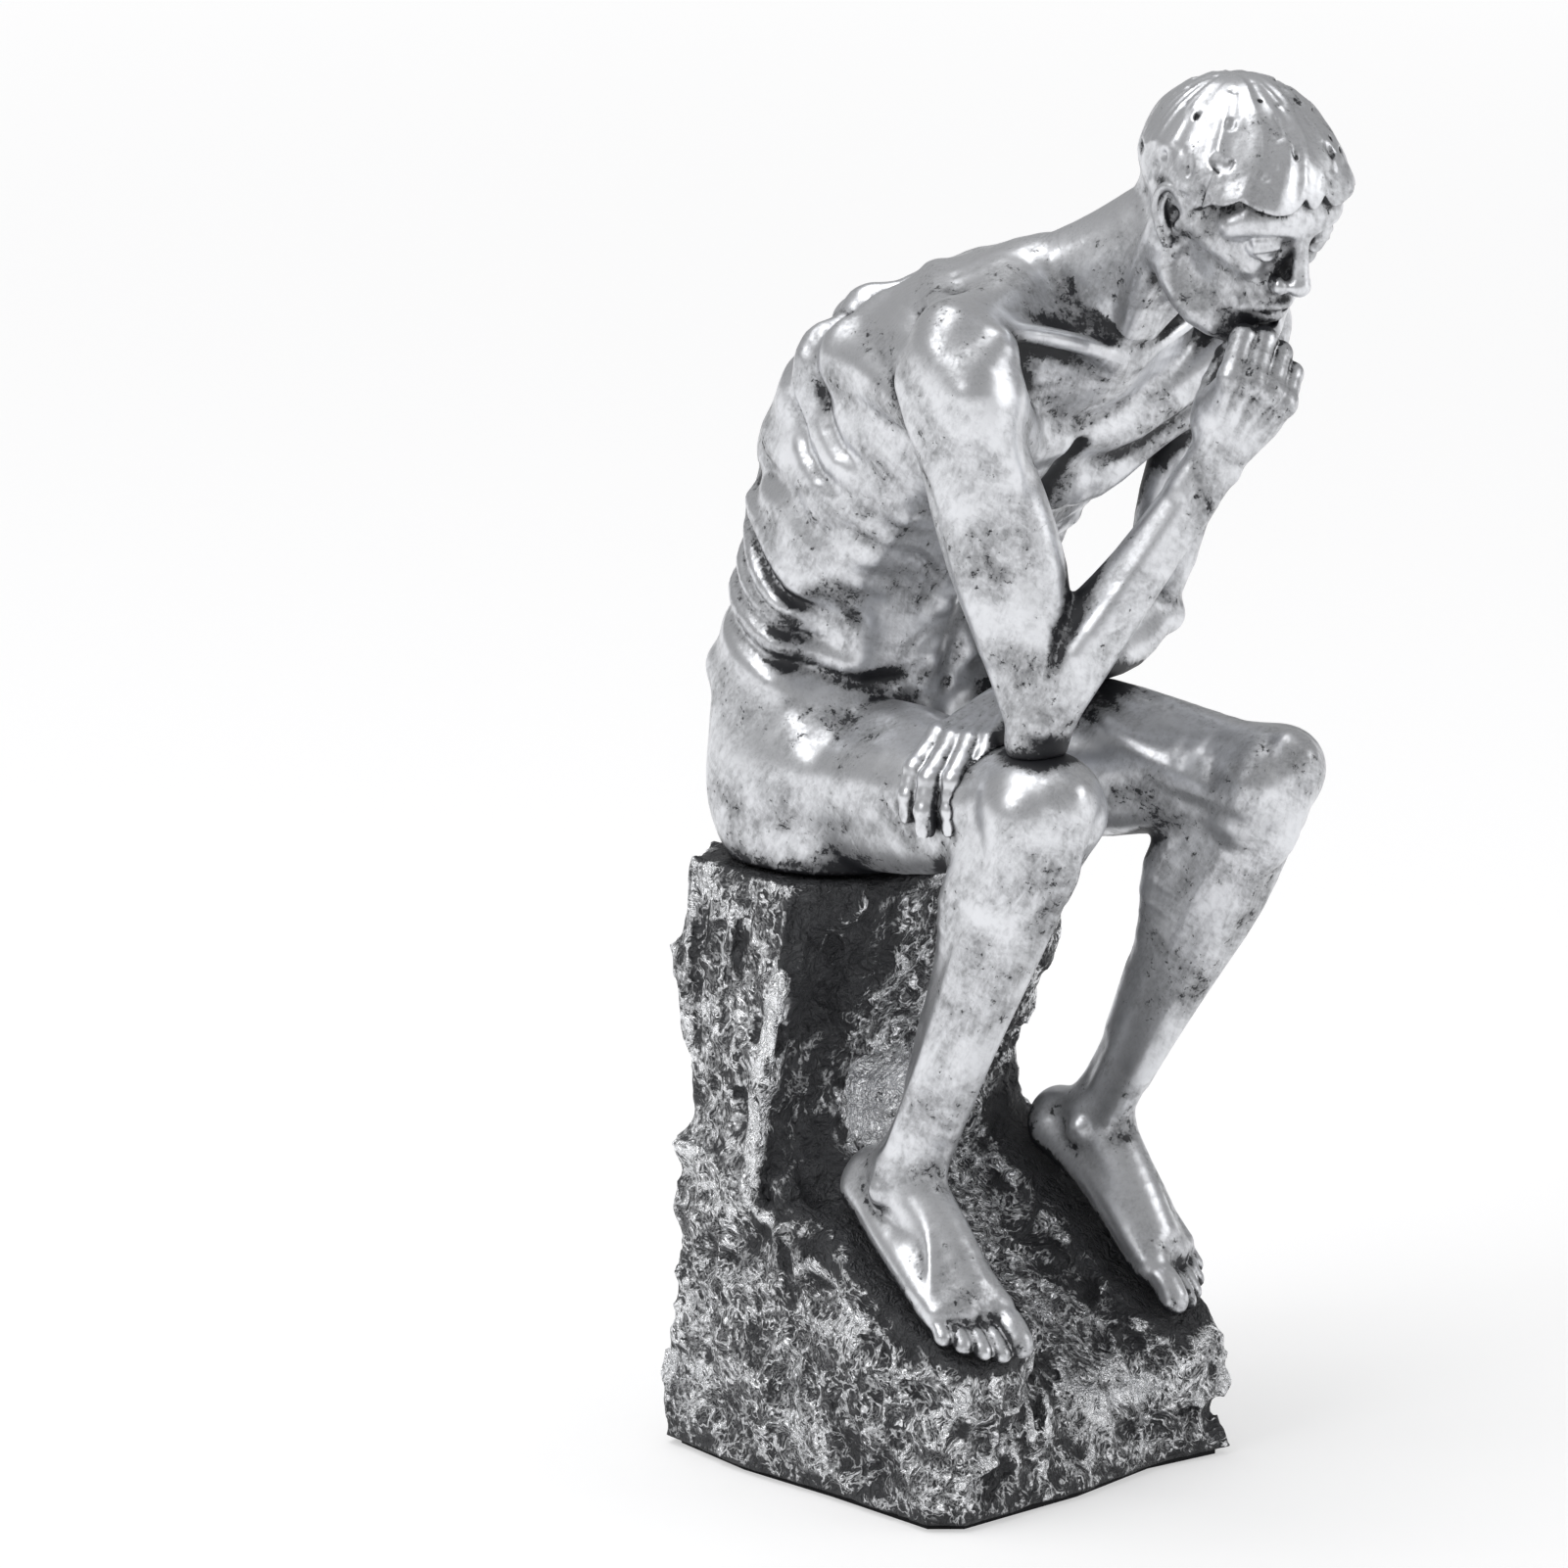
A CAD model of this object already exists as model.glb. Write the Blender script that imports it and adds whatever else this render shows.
import math
import bpy
import numpy as np
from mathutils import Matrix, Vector


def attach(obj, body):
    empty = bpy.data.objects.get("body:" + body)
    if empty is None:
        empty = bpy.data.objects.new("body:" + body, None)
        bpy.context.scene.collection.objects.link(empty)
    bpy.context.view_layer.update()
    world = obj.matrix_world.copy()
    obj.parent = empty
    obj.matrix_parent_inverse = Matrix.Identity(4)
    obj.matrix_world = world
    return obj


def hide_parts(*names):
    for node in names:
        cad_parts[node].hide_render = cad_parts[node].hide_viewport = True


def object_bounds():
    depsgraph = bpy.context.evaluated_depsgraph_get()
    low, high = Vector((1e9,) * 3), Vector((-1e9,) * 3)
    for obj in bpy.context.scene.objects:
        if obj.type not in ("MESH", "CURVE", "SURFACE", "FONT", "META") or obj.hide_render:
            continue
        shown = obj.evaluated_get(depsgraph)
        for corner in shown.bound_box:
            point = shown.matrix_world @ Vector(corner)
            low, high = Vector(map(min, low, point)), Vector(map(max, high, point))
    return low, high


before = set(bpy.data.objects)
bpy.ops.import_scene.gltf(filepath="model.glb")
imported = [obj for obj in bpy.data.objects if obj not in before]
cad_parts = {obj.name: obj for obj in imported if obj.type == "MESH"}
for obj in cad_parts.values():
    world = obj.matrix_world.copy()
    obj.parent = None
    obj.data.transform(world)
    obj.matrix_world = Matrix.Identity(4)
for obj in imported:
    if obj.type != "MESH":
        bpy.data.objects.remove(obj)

# A seated figure deep in thought on a rough rock, cast in resin with an antique silver coat.
# The figure and the rock are modelled like clay: each shape is a function that says how far a point
# lies from it, in millimetres and below zero inside, and the skin is drawn where the sum is zero.
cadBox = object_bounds()
mm = 0.001
fine = 1.0


def vec(x, y, z):
    return np.array([x, y, z], dtype=np.float64)


def unit(v):
    return v / np.linalg.norm(v)


def mix(a, b, share):
    return a + (b - a) * share


def square(direction, hint):
    return unit(hint - direction * np.dot(hint, direction))  # hint made square to direction


def turned(direction, other, degrees):
    turn = math.radians(degrees)
    return direction * math.cos(turn) + other * math.sin(turn)


forward, leftward, upward = vec(1, 0, 0), vec(0, 1, 0), vec(0, 0, 1)


def boneFrame(start, end, frontHint, outHint):
    # gives a function: share of the way, mm outwards and mm to the front -> point
    along = unit(end - start)
    front = square(along, frontHint)
    out = np.cross(along, front)
    out = out if np.dot(out, outHint) > 0 else -out
    return lambda share, aside, ahead: start + (end - start) * share + out * aside + front * ahead


pose = {
    "seatHeight": 111.0,
    "rightHip": vec(-16.5, -15, 126), "leftHip": vec(-16.5, 15, 126),
    "rightKnee": vec(46.5, -23, 131), "leftKnee": vec(52, 27, 130.5),
    "rightAnkle": vec(14, -24.5, 58), "leftAnkle": vec(9, 28.5, 57),
    "pelvis": vec(-16.5, 0, 111), "neckBase": vec(36, 0, 219),
    "rightShoulder": vec(40, -38.5, 212), "leftShoulder": vec(31, 38.5, 212),
    "rightElbow": vec(46, -23, 149.4), "rightWrist": vec(69.5, -3, 197.5),
    "leftElbow": vec(8, 41, 152), "leftWrist": vec(26, -10.5, 145.5),
    "head": vec(67, 4, 239.5), "headPitch": 26.0, "backBulge": 42.0,
    "thighJoint": 0.36, "armJoint": 0.47, "neckJoint": 0.2,
    "ankleHeight": 11.0, "rightFootPitch": 30.0, "leftFootPitch": 36.0, "footSplay": 6.0,
}
faceAhead = turned(forward, -upward, pose["headPitch"])
faceUp = turned(upward, forward, pose["headPitch"])
nape = pose["head"] - faceAhead * 7.83 - faceUp * 8.7


farAway = 9.0  # mm, the distance held where no shape is near
cubeCorners = [(a, b, c) for a in (0, 1) for b in (0, 1) for c in (0, 1)]


class Clay:
    # a block of space as a grid of points, each holding its distance from the surface
    margin = 2.5  # mm round a shape in which its distances are worked out

    def __init__(self, low, high, cell):
        self.cell = cell
        self.low = np.floor(np.array(low, float) / cell) * cell
        self.size = np.ceil((np.array(high, float) - self.low) / cell).astype(int) + 1
        self.far = np.full(self.size, farAway, np.float32)

    def empty(self):
        # a block over the same points with nothing in it
        other = Clay(self.low, self.low + (self.size - 1) * self.cell, self.cell)
        other.size = self.size
        other.far = np.full(self.size, farAway, np.float32)
        return other

    def window(self, low, high, margin):
        first = np.floor((low - margin - self.low) / self.cell).astype(int)
        last = np.ceil((high + margin - self.low) / self.cell).astype(int) + 1
        return np.clip(first, 0, self.size), np.clip(last, 0, self.size)

    def grid(self, first, last):
        lines = [self.low[i] + self.cell * np.arange(first[i], last[i]) for i in range(3)]
        shapes = ((-1, 1, 1), (1, -1, 1), (1, 1, -1))
        return [line.astype(np.float32).reshape(shape) for line, shape in zip(lines, shapes)]

    def whole(self):
        return self.grid(np.zeros(3, int), self.size)

    def work(self, shape, soften, how):
        low, high, far = shape
        first, last = self.window(low, high, soften + self.margin)
        if np.any(last - first < 2):
            return
        part = tuple(slice(a, b) for a, b in zip(first, last))
        self.far[part] = how(self.far[part], far(*self.grid(first, last)), soften)

    def add(self, shape, soften=0.0):
        self.work(shape, soften, softMin)

    def cut(self, shape, soften=0.0):
        self.work(shape, soften, lambda a, b, k: softMax(a, -b, k))


def softMin(a, b, k):
    # the lesser of two distances, with the corner between them filled over a width k
    if k <= 0:
        return np.minimum(a, b)
    h = np.clip(0.5 + 0.5 * (a - b) / k, 0, 1)
    return a + (b - a) * h - k * h * (1 - h)


def softMax(a, b, k):
    return -softMin(-a, -b, k)


def rod(start, end, girth, endGirth):
    # a tapered rod with round ends: distance to the nearest place on its middle line, less the
    # girth there
    reach = max(girth, endGirth)
    run = end - start
    length = float(np.dot(run, run)) or 1e-9

    def far(x, y, z):
        x, y, z = x - np.float32(start[0]), y - np.float32(start[1]), z - np.float32(start[2])
        share = np.clip((x * run[0] + y * run[1] + z * run[2]) / length, 0, 1).astype(np.float32)
        x, y, z = x - share * run[0], y - share * run[1], z - share * run[2]
        middle = np.sqrt(x * x + y * y + z * z)
        return (middle - (girth + (endGirth - girth) * share)).astype(np.float32)

    return np.minimum(start, end) - reach, np.maximum(start, end) + reach, far


def smoothRun(points, girths, steps):
    # a Catmull-Rom curve: each place blends the four points round it by cubic weights
    rows = np.column_stack([np.array(points, float), np.array(girths, float)])
    rows = np.vstack([2 * rows[0] - rows[1], rows, 2 * rows[-1] - rows[-2]])
    share = np.linspace(0, 1, steps, endpoint=False)[:, None]
    runs = []
    for a, b, c, d in zip(rows[:-3], rows[1:-2], rows[2:-1], rows[3:]):
        runs.append(0.5 * (2 * b + (c - a) * share + (2 * a - 5 * b + 4 * c - d) * share ** 2
                           + (3 * b - a - 3 * c + d) * share ** 3))
    return np.vstack(runs + [rows[-2][None]])


strandSteps, leastGirth = 3, 0.05


def strand(points, girths):
    # a muscle, tendon or finger: the nearest of many short tapered rods along a smooth curve
    run = smoothRun(points, girths, strandSteps)
    rods = [rod(a[:3], b[:3], max(a[3], leastGirth), max(b[3], leastGirth))
            for a, b in zip(run[:-1], run[1:])]
    low = np.min([r[0] for r in rods], axis=0)
    high = np.max([r[1] for r in rods], axis=0)

    def far(x, y, z):
        total = rods[0][2](x, y, z)
        for each in rods[1:]:
            total = np.minimum(total, each[2](x, y, z))
        return total

    return low, high, far


def egg(centre, radii, axes=None):
    # an ellipsoid: with k the length of the offset over the radii, distance = k(k-1) over its slope
    axes = np.eye(3) if axes is None else np.array(axes, float)
    radii = np.array(radii, float)
    reach = np.sqrt(np.sum((axes * radii[:, None]) ** 2, axis=0))

    def far(x, y, z):
        x, y, z = x - np.float32(centre[0]), y - np.float32(centre[1]), z - np.float32(centre[2])
        k = 0
        slope = 0
        for axis, radius in zip(axes, radii):
            part = (x * axis[0] + y * axis[1] + z * axis[2]) / radius
            k = k + part * part
            slope = slope + (part / radius) ** 2
        k = np.sqrt(k)
        return (k * (k - 1) / np.maximum(np.sqrt(slope), 1e-4)).astype(np.float32)

    return centre - reach, centre + reach, far


def pastPlane(x, y, z, point, normal):
    # the dot product of the offset from a point of the plane with its normal
    return (x - point[0]) * normal[0] + (y - point[1]) * normal[1] + (z - point[2]) * normal[2]


def slab(point, normal, low, high):
    # everything behind a plane
    normal = unit(normal)

    def far(x, y, z):
        return pastPlane(x, y, z, point, normal).astype(np.float32)

    return np.array(low, float), np.array(high, float), far


noiseSteps = 32
noiseShifts = (3.7, 7.1, 1.3)  # keep the patterns of different seeds apart
noiseTable = np.random.default_rng(11).random((noiseSteps,) * 3).astype(np.float32)


def lumps(x, y, z, size, seed=0):
    # smooth random lumps: values from a table at whole steps of `size`, eased between by 3t2-2t3
    total = 0
    cells = []
    for line, shift in zip((x, y, z), noiseShifts):
        line = line / size + shift * (seed + 1)
        base = np.floor(line)
        part = (line - base).astype(np.float32)
        cells.append((base.astype(np.int32), part * part * (3 - 2 * part)))
    (i, u), (j, v), (k, w) = cells
    last = noiseSteps - 1
    for a, b, c in cubeCorners:
        weight = (u if a else 1 - u) * (v if b else 1 - v) * (w if c else 1 - w)
        total = total + weight * noiseTable[(i + a) & last, (j + b) & last, (k + c) & last]
    return total


evenings, evenShare, mostPull = 3, 0.6, 0.6  # rounds of evening the corners, and their limits


def skinOf(clay):
    # one corner in each cube that the surface crosses, at the mean of its crossings; four such
    # cubes round an edge make a face; then the corners are evened and put back on the surface
    far = clay.far
    inside = far < 0
    counted = np.zeros(np.array(far.shape) - 1, np.uint8)
    nx, ny, nz = counted.shape
    for a, b, c in cubeCorners:
        counted += inside[a:nx + a, b:ny + b, c:nz + c]
    crossed = (counted > 0) & (counted < len(cubeCorners))
    label = np.full(counted.shape, -1, np.int32)
    label[crossed] = np.arange(int(crossed.sum()))
    ci, cj, ck = np.nonzero(crossed)
    total = np.zeros((len(ci), 3), np.float64)
    hits = np.zeros(len(ci))
    for p in cubeCorners:
        for axis in range(3):
            if p[axis] == 0:
                q = tuple(1 if i == axis else p[i] for i in range(3))
                fa = far[ci + p[0], cj + p[1], ck + p[2]]
                fb = far[ci + q[0], cj + q[1], ck + q[2]]
                change = (fa < 0) != (fb < 0)
                share = np.where(change, fa / np.where(fa == fb, 1, fa - fb), 0)
                for i in range(3):
                    total[:, i] += change * (p[i] + (share if i == axis else 0))
                hits += change
    places = clay.low + clay.cell * (np.column_stack([ci, cj, ck]) + total / hits[:, None])
    faces = []
    for axis in range(3):
        one, two = [i for i in range(3) if i != axis]
        here = [slice(1, -1)] * 3
        here[axis] = slice(0, -1)
        there = list(here)
        there[axis] = slice(1, None)
        a, b = inside[tuple(here)], inside[tuple(there)]
        spots = np.nonzero(a != b)
        flip = b[spots]
        cube = [spots[i] + (0 if i == axis else 1) for i in range(3)]
        ring = []
        for d1, d2 in ((-1, -1), (0, -1), (0, 0), (-1, 0)):
            at = list(cube)
            at[one] = at[one] + d1
            at[two] = at[two] + d2
            ring.append(label[tuple(at)])
        ring = np.column_stack(ring)
        if axis == 1:
            flip = ~flip
        ring[flip] = ring[flip][:, ::-1]
        faces.append(ring)
    faces = np.vstack(faces)
    edges = np.vstack([faces[:, [0, 1]], faces[:, [1, 2]], faces[:, [2, 3]], faces[:, [3, 0]]])
    weight = np.bincount(edges[:, 0], minlength=len(places)).astype(float)
    weight[weight == 0] = 1
    for _ in range(evenings):
        evened = np.column_stack([np.bincount(edges[:, 0], places[edges[:, 1], i], len(places))
                                  for i in range(3)])
        evened = np.where(weight[:, None] > 2, evened / weight[:, None], places)
        places = mix(places, evened, evenShare)
        slope, depth = slopeAt(clay, places)
        pull = np.clip(depth, -mostPull * clay.cell, mostPull * clay.cell)
        places = places - slope * pull[:, None]
    return places, faces


def depthAt(clay, places):
    # distance read between the grid's points, by shares along all three axes
    at = (places - clay.low) / clay.cell
    at = np.clip(at, 0, np.array(clay.size) - 1.001)
    base = at.astype(int)
    part = at - base
    total = 0
    for corner in cubeCorners:
        weight = 1
        for i, step in enumerate(corner):
            weight = weight * (part[:, i] if step else 1 - part[:, i])
        total = total + weight * clay.far[tuple((base + corner).T)]
    return total


def slopeAt(clay, places):
    # outward direction at each place, and the distance over the slope's steepness
    reach = clay.cell
    slope = np.column_stack([
        depthAt(clay, places + reach * np.eye(3)[i]) - depthAt(clay, places - reach * np.eye(3)[i])
        for i in range(3)]) / (2 * reach)
    steep = np.maximum(np.linalg.norm(slope, axis=1), 0.2)
    return slope / steep[:, None], depthAt(clay, places) / steep


def hollows(clay, places, slope, reaches):
    # how closed in each place is: 1 less the distance found outwards, as a share of the way gone
    total = 0
    for reach in reaches:
        total = total + np.clip(1 - depthAt(clay, places + slope * reach) / reach, 0, 1)
    return total / len(reaches)


def ridges(clay, places, reach):
    # how much the surface bends outwards: the distance found inwards, less than the way gone
    slope = slopeAt(clay, places)[0]
    return np.clip(1 + depthAt(clay, places - slope * reach) / reach, 0, 1)


trunk = {
    # share up the spine, half width, depth to the front, depth to the back
    "rings": [(0, 31, 18.4, 19.5), (0.14, 34.5, 17.4, 21), (0.32, 32.4, 18, 20),
              (0.46, 31.2, 18.6, 20), (0.63, 32.6, 20.4, 21), (0.8, 34, 21, 20.5),
              (0.92, 33.4, 16, 16.6), (1, 23.4, 11.6, 11.6)],
    "squareness": 2.35, "spineLength": 128.0, "mmPerDegree": 0.46, "foldReach": 5.0,
    "foldFade": 9.0,
    # skin folds: width and depth in mm, then the places it runs through, each a share up the spine
    # and degrees round from the side (-90 front, 90 back)
    "folds": [(2.4, 1.0, [(0.5, 56), (0.52, 34), (0.585, 8), (0.56, -10), (0.63, -28)]),
              (1.3, 1.1, [(0.5, 46), (0.485, 22), (0.44, 0), (0.40, -24)]),
              (1.1, 0.9, [(0.455, 50), (0.44, 26), (0.405, 4), (0.375, -22)]),
              (1.2, 1.0, [(0.405, 54), (0.395, 22), (0.37, -4), (0.35, -30)]),
              (1.8, 1.1, [(0.35, 62), (0.345, 20), (0.315, -8), (0.29, -40), (0.30, -66)]),
              (1.6, 1.2, [(0.86, 40), (0.79, 24), (0.735, 8), (0.72, -8), (0.74, -22)]),
              (1.5, 1.0, [(0.81, 46), (0.74, 30), (0.68, 14), (0.655, -4), (0.67, -20)]),
              (1.2, 1.2, [(0.90, 50), (0.85, 38), (0.80, 30)]),
              (1.1, 0.8, [(0.62, -34), (0.56, -52), (0.5, -64)])],
}


def spineAt(share):
    # the spine bows backwards: a parabola through pelvis and neck pulled back in the middle
    share = np.asarray(share, float)[..., None]
    bow = mix(pose["pelvis"], pose["neckBase"], 0.5) + vec(-1, 0, 0.3) * pose["backBulge"]
    ends = pose["pelvis"] * (1 - share) ** 2 + pose["neckBase"] * share ** 2
    return ends + bow * (2 * share * (1 - share))


def backwardAt(share):
    step = 0.01
    along = spineAt(share + step) - spineAt(share - step)
    along = along / np.linalg.norm(along, axis=-1, keepdims=True)
    return np.stack([-along[..., 2], np.zeros_like(along[..., 0]), along[..., 0]], axis=-1)


ringTable = smoothRun([r[:3] for r in trunk["rings"]], [r[3] for r in trunk["rings"]], 12)


def ringAt(share):
    return [np.interp(share, ringTable[:, 0], ringTable[:, i]) for i in (1, 2, 3)]


def trunkPoint(share, side, facing, sink=0.0):
    # a point on the trunk's skin, or `sink` under it: facing 1 back or -1 front, `side` mm off
    width, front, back = ringAt(share)
    power = trunk["squareness"]
    depth = back if facing > 0 else front
    depth = depth * max(1 - min(abs(side) / width, 1) ** power, 0) ** (1 / power)
    return spineAt(share) + leftward * side + backwardAt(share) * facing * (depth - sink)


def shapeTrunkCore(clay):
    # a rounded oval carried up the spine: seen from the side each point has its nearest place on
    # the spine, and its distance is measured against the oval there
    x, y, z = clay.whole()
    shares = np.linspace(-0.04, 1, 261)
    line = spineAt(shares)
    apart = (x[:, :, 0] - line[:, 0]) ** 2
    near = np.argmin(apart[:, None, :] + ((z[0, 0, :, None] - line[:, 2]) ** 2)[None], axis=2)
    share = shares[near]
    place, backward = line[near], backwardAt(share)
    depth = ((x[:, :, 0] - place[..., 0]) * backward[..., 0]
             + (z[0] - place[..., 2]) * backward[..., 2])
    width, front, back = [ring.astype(np.float32)[:, None, :] for ring in ringAt(share)]
    depth = depth.astype(np.float32)[:, None, :]
    power = trunk["squareness"]
    reach = np.where(depth > 0, back, front)
    size = ((np.abs(y) / width) ** power + (np.abs(depth) / reach) ** power) ** (1 / power)
    radius = np.sqrt(y * y + depth * depth)
    far = np.where(size > 0.05, radius - radius / np.maximum(size, 0.05), -np.minimum(width, reach))
    top = unit(spineAt(1.0) - spineAt(0.98))
    above = (x - pose["neckBase"][0]) * top[0] + (z - pose["neckBase"][2]) * top[2]
    clay.far = softMax(far.astype(np.float32), (above - 2).astype(np.float32), 8)
    return share[:, None, :].astype(np.float32), np.degrees(np.arctan2(depth, np.abs(y)))


def skinFolds(far, share, turn):
    # grooves with raised lips: the distance from the fold's line, laid flat on the skin in mm,
    # gives a bell-shaped section; only the points near the skin are worked out
    close = np.nonzero(np.abs(far) < trunk["foldReach"])
    up = np.broadcast_to(share, far.shape)[close] * trunk["spineLength"]
    girdle = turn[close] * trunk["mmPerDegree"]
    total = np.zeros(len(up), np.float32)
    for width, depth, places in trunk["folds"]:
        line = np.array(places) * [trunk["spineLength"], trunk["mmPerDegree"]]
        line = smoothRun(np.column_stack([line, line[:, :1]]), line[:, 0], 3)[:, :2]
        gap = np.full(len(up), 99.0, np.float32)
        for a, b in zip(line[:-1], line[1:]):
            run = b - a
            along = ((up - a[0]) * run[0] + (girdle - a[1]) * run[1]) / np.dot(run, run)
            along = np.clip(along, 0, 1)
            gap = np.minimum(gap, np.hypot(up - a[0] - along * run[0],
                                           girdle - a[1] - along * run[1]))
        ends = [np.hypot(up - end[0], girdle - end[1]) for end in (line[0], line[-1])]
        fade = np.clip(np.minimum(*ends) / trunk["foldFade"], 0, 1)
        bell = (np.exp(-(gap / width) ** 2)
                - 0.45 * np.exp(-((gap - 2.3 * width) / (1.3 * width)) ** 2))
        total = total + depth * bell * fade * fade * (3 - 2 * fade)
    far[close] += total
    return far


def shapeTrunk(clay):
    shares, turns = shapeTrunkCore(clay)
    for side, shoulder in ((-1, pose["rightShoulder"]), (1, pose["leftShoulder"])):
        out = leftward * side
        # columns of muscle along the spine
        clay.add(strand([trunkPoint(0.08, side * 5.5, 1, 3), trunkPoint(0.3, side * 5.6, 1, 3.2),
                         trunkPoint(0.5, side * 6.2, 1, 3.4), trunkPoint(0.7, side * 6.6, 1, 3.6),
                         trunkPoint(0.88, side * 5, 1, 4)], [3.4, 4.6, 4.8, 4.6, 3.4]), 3)
        # the broad muscle from the loins to the armpit
        clay.add(strand([trunkPoint(0.4, side * 15, 1, 3.2), trunkPoint(0.52, side * 21, 1, 3.0),
                         trunkPoint(0.66, side * 26, 1, 3.0), trunkPoint(0.8, side * 29.5, 1, 3.2),
                         shoulder + vec(-5, 0, -12) + out * -3], [2.5, 4.8, 6.4, 6.6, 4.2]), 3)
        # shoulder blade, drawn outwards with the arm
        clay.add(strand([trunkPoint(0.7, side * 17, 1, 2.6), trunkPoint(0.8, side * 21, 1, 1.8),
                         shoulder + vec(-8, 0, -2) + out * -4], [3.6, 5.4, 4.6]), 2.6)
        clay.add(strand([trunkPoint(0.86, side * 11, 1, 2.4), trunkPoint(0.91, side * 20, 1, 1.4),
                         shoulder + vec(-5, 0, 6) + out * -2], [1.8, 2.2, 2.2]), 2.6)
        clay.cut(strand([trunkPoint(0.62, side * 12, 1, -0.4), trunkPoint(0.76, side * 13, 1, -0.6),
                         trunkPoint(0.87, side * 11, 1, -0.4)], [0.9, 1.4, 0.7]), 3)
        # lower end of the cowl muscle, down the back
        clay.add(strand([pose["neckBase"] + vec(-9, 0, 1) + out * 4,
                         trunkPoint(0.82, side * 4, 1, 2),
                         trunkPoint(0.66, side * 2, 1, 2)], [4, 3, 1.6]), 3)
        # collar bone
        clay.add(strand([pose["neckBase"] + vec(8.0, 0, -9) + out * 3,
                         pose["neckBase"] + vec(8.6, 0, -5.8) + out * 12,
                         pose["neckBase"] + vec(5.7, 0, -2.9) + out * 22, shoulder + vec(0, 0, 7)],
                        [1.9, 1.7, 1.7, 2.1]), 3.2)
        # breast muscles
        clay.add(strand([trunkPoint(0.72, side * 4, -1, 2.6), trunkPoint(0.75, side * 13, -1, 2.6),
                         trunkPoint(0.82, side * 23, -1, 1), shoulder + vec(6, 0, -9)],
                        [4.4, 6.6, 6.2, 4]), 3)
        clay.add(strand([trunkPoint(0.86, side * 4, -1, 2.4), trunkPoint(0.87, side * 14, -1, 1.6),
                         shoulder + vec(7, 0, -4) + out * -4], [4, 5.4, 4.4]), 3.4)
        # ribs showing at the flank
        for step in range(5):
            share = 0.47 + 0.058 * step
            clay.add(strand([trunkPoint(share + 0.05, side * 25, 1, 2.6),
                             trunkPoint(share + 0.02, side * 27.4, 1, 2.4),
                             trunkPoint(share - 0.01, side * 25.5, -1, 2.2),
                             trunkPoint(share - 0.035, side * 19, -1, 2)],
                            [1.4, 2.5, 2.5, 1.2]), 3)
        # belly
        for share, reach in ((0.2, 5.4), (0.335, 4.6), (0.46, 4.8), (0.58, 4.6)):
            clay.add(egg(trunkPoint(share, side * 5, -1, 3.2), (4.6, reach, 4.4),
                         (leftward, unit(spineAt(share + 0.02) - spineAt(share)),
                          backwardAt(share))), 1.8)
        # flank above the hip
        clay.add(strand([trunkPoint(0.17, side * 15, -1, 4), trunkPoint(0.22, side * 26, -1, 2.6),
                         trunkPoint(0.26, side * 25.5, 1, 3), trunkPoint(0.24, side * 15, 1, 4)],
                        [3, 4.4, 4.4, 3]), 3)
        # seat muscles
        clay.add(egg(vec(-23, side * 16.5, 121.5), (13, 15.5, 14)), 6)
        clay.add(strand([vec(-16, side * 26, 128), vec(-8, side * 26, 131), vec(0, side * 24, 128)],
                        [7, 7, 5]), 6)
        # hollow of the flank between the lowest ribs and the hip
        clay.cut(egg(trunkPoint(0.36, side * 29, -1, -4.2), (6, 6, 9)), 6)
    clay.cut(strand([vec(-40, 0, 134), vec(-39.5, 0, 125), vec(-36, 0, 111)], [0.6, 1.6, 2.2]), 3)
    # furrow of the back, with the knobs of the spine in it
    clay.cut(strand([trunkPoint(s, 0, 1, -1.3) for s in (0.12, 0.3, 0.5, 0.7)], [1.3, 2, 1.9, 0.8]),
             3.4)
    for step in range(11):
        share = 0.2 + 0.062 * step
        clay.add(egg(trunkPoint(share, 0, 1, 1.9), (1.5, 1.5, 2.0)), 1.5)
    clay.cut(strand([trunkPoint(s, 0, -1, -0.9) for s in (0.3, 0.5, 0.66, 0.86)],
                    [0.9, 1.1, 1.3, 1]), 2.4)
    clay.cut(egg(trunkPoint(0.265, 0, -1, -0.2), (1.1, 1.1, 1.1)), 1.2)
    clay.far = skinFolds(clay.far, shares, turns.astype(np.float32))


armMuscles = {
    # places are share of the bone, mm outwards and mm to the flexing side, then the girth in mm
    "core": [(0, 0, 0, 8), (0.3, 0, 0, 7), (0.7, 0, 0, 6), (1, 0, 0, 5.4)],
    "biceps": [(0.1, -1, 3, 3.6), (0.32, 0, 4.6, 5), (0.6, 0.4, 5.2, 5.5), (0.82, 0, 4, 4),
               (1, 0, 2.6, 2.2)],
    "innerTriceps": [(0.08, -2.4, -3.6, 4), (0.3, -2.8, -4.8, 5), (0.55, -2.2, -5, 4.6),
                     (0.8, -0.8, -4.2, 3.4), (0.97, 0, -3.8, 2.6)],
    "outerTriceps": [(0.2, 3, -3, 3.6), (0.38, 4, -4, 4.6), (0.58, 3.2, -4.4, 4.2),
                     (0.78, 1.4, -4.2, 2.8)],
    "brachialis": [(0.5, 3.6, 0.6, 2.8), (0.75, 3.6, 1.8, 3.5), (0.95, 2.6, 2, 2.8)],
}
forearmMuscles = {
    "core": [(0, 0, 0, 5.2), (0.3, 0, 0, 5), (0.7, 0, 0, 3.6), (1, 0, 0, 3)],
    "flexors": [(0.03, -3, 1.2, 3.4), (0.24, -1.8, 3, 4.5), (0.5, -1, 2.2, 3.5), (0.86, 0, 1.2, 2)],
    "extensors": [(0.05, 0.6, -2.8, 3), (0.24, 1.2, -3.2, 4.1), (0.5, 0.8, -2.4, 3.1),
                  (0.86, 0.4, -1.1, 2)],
    "ulna": [(0.02, -2.6, -3, 2.4), (0.5, -2.9, -2.2, 1.7), (0.95, -2.7, -1.4, 1.9)],
}


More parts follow.
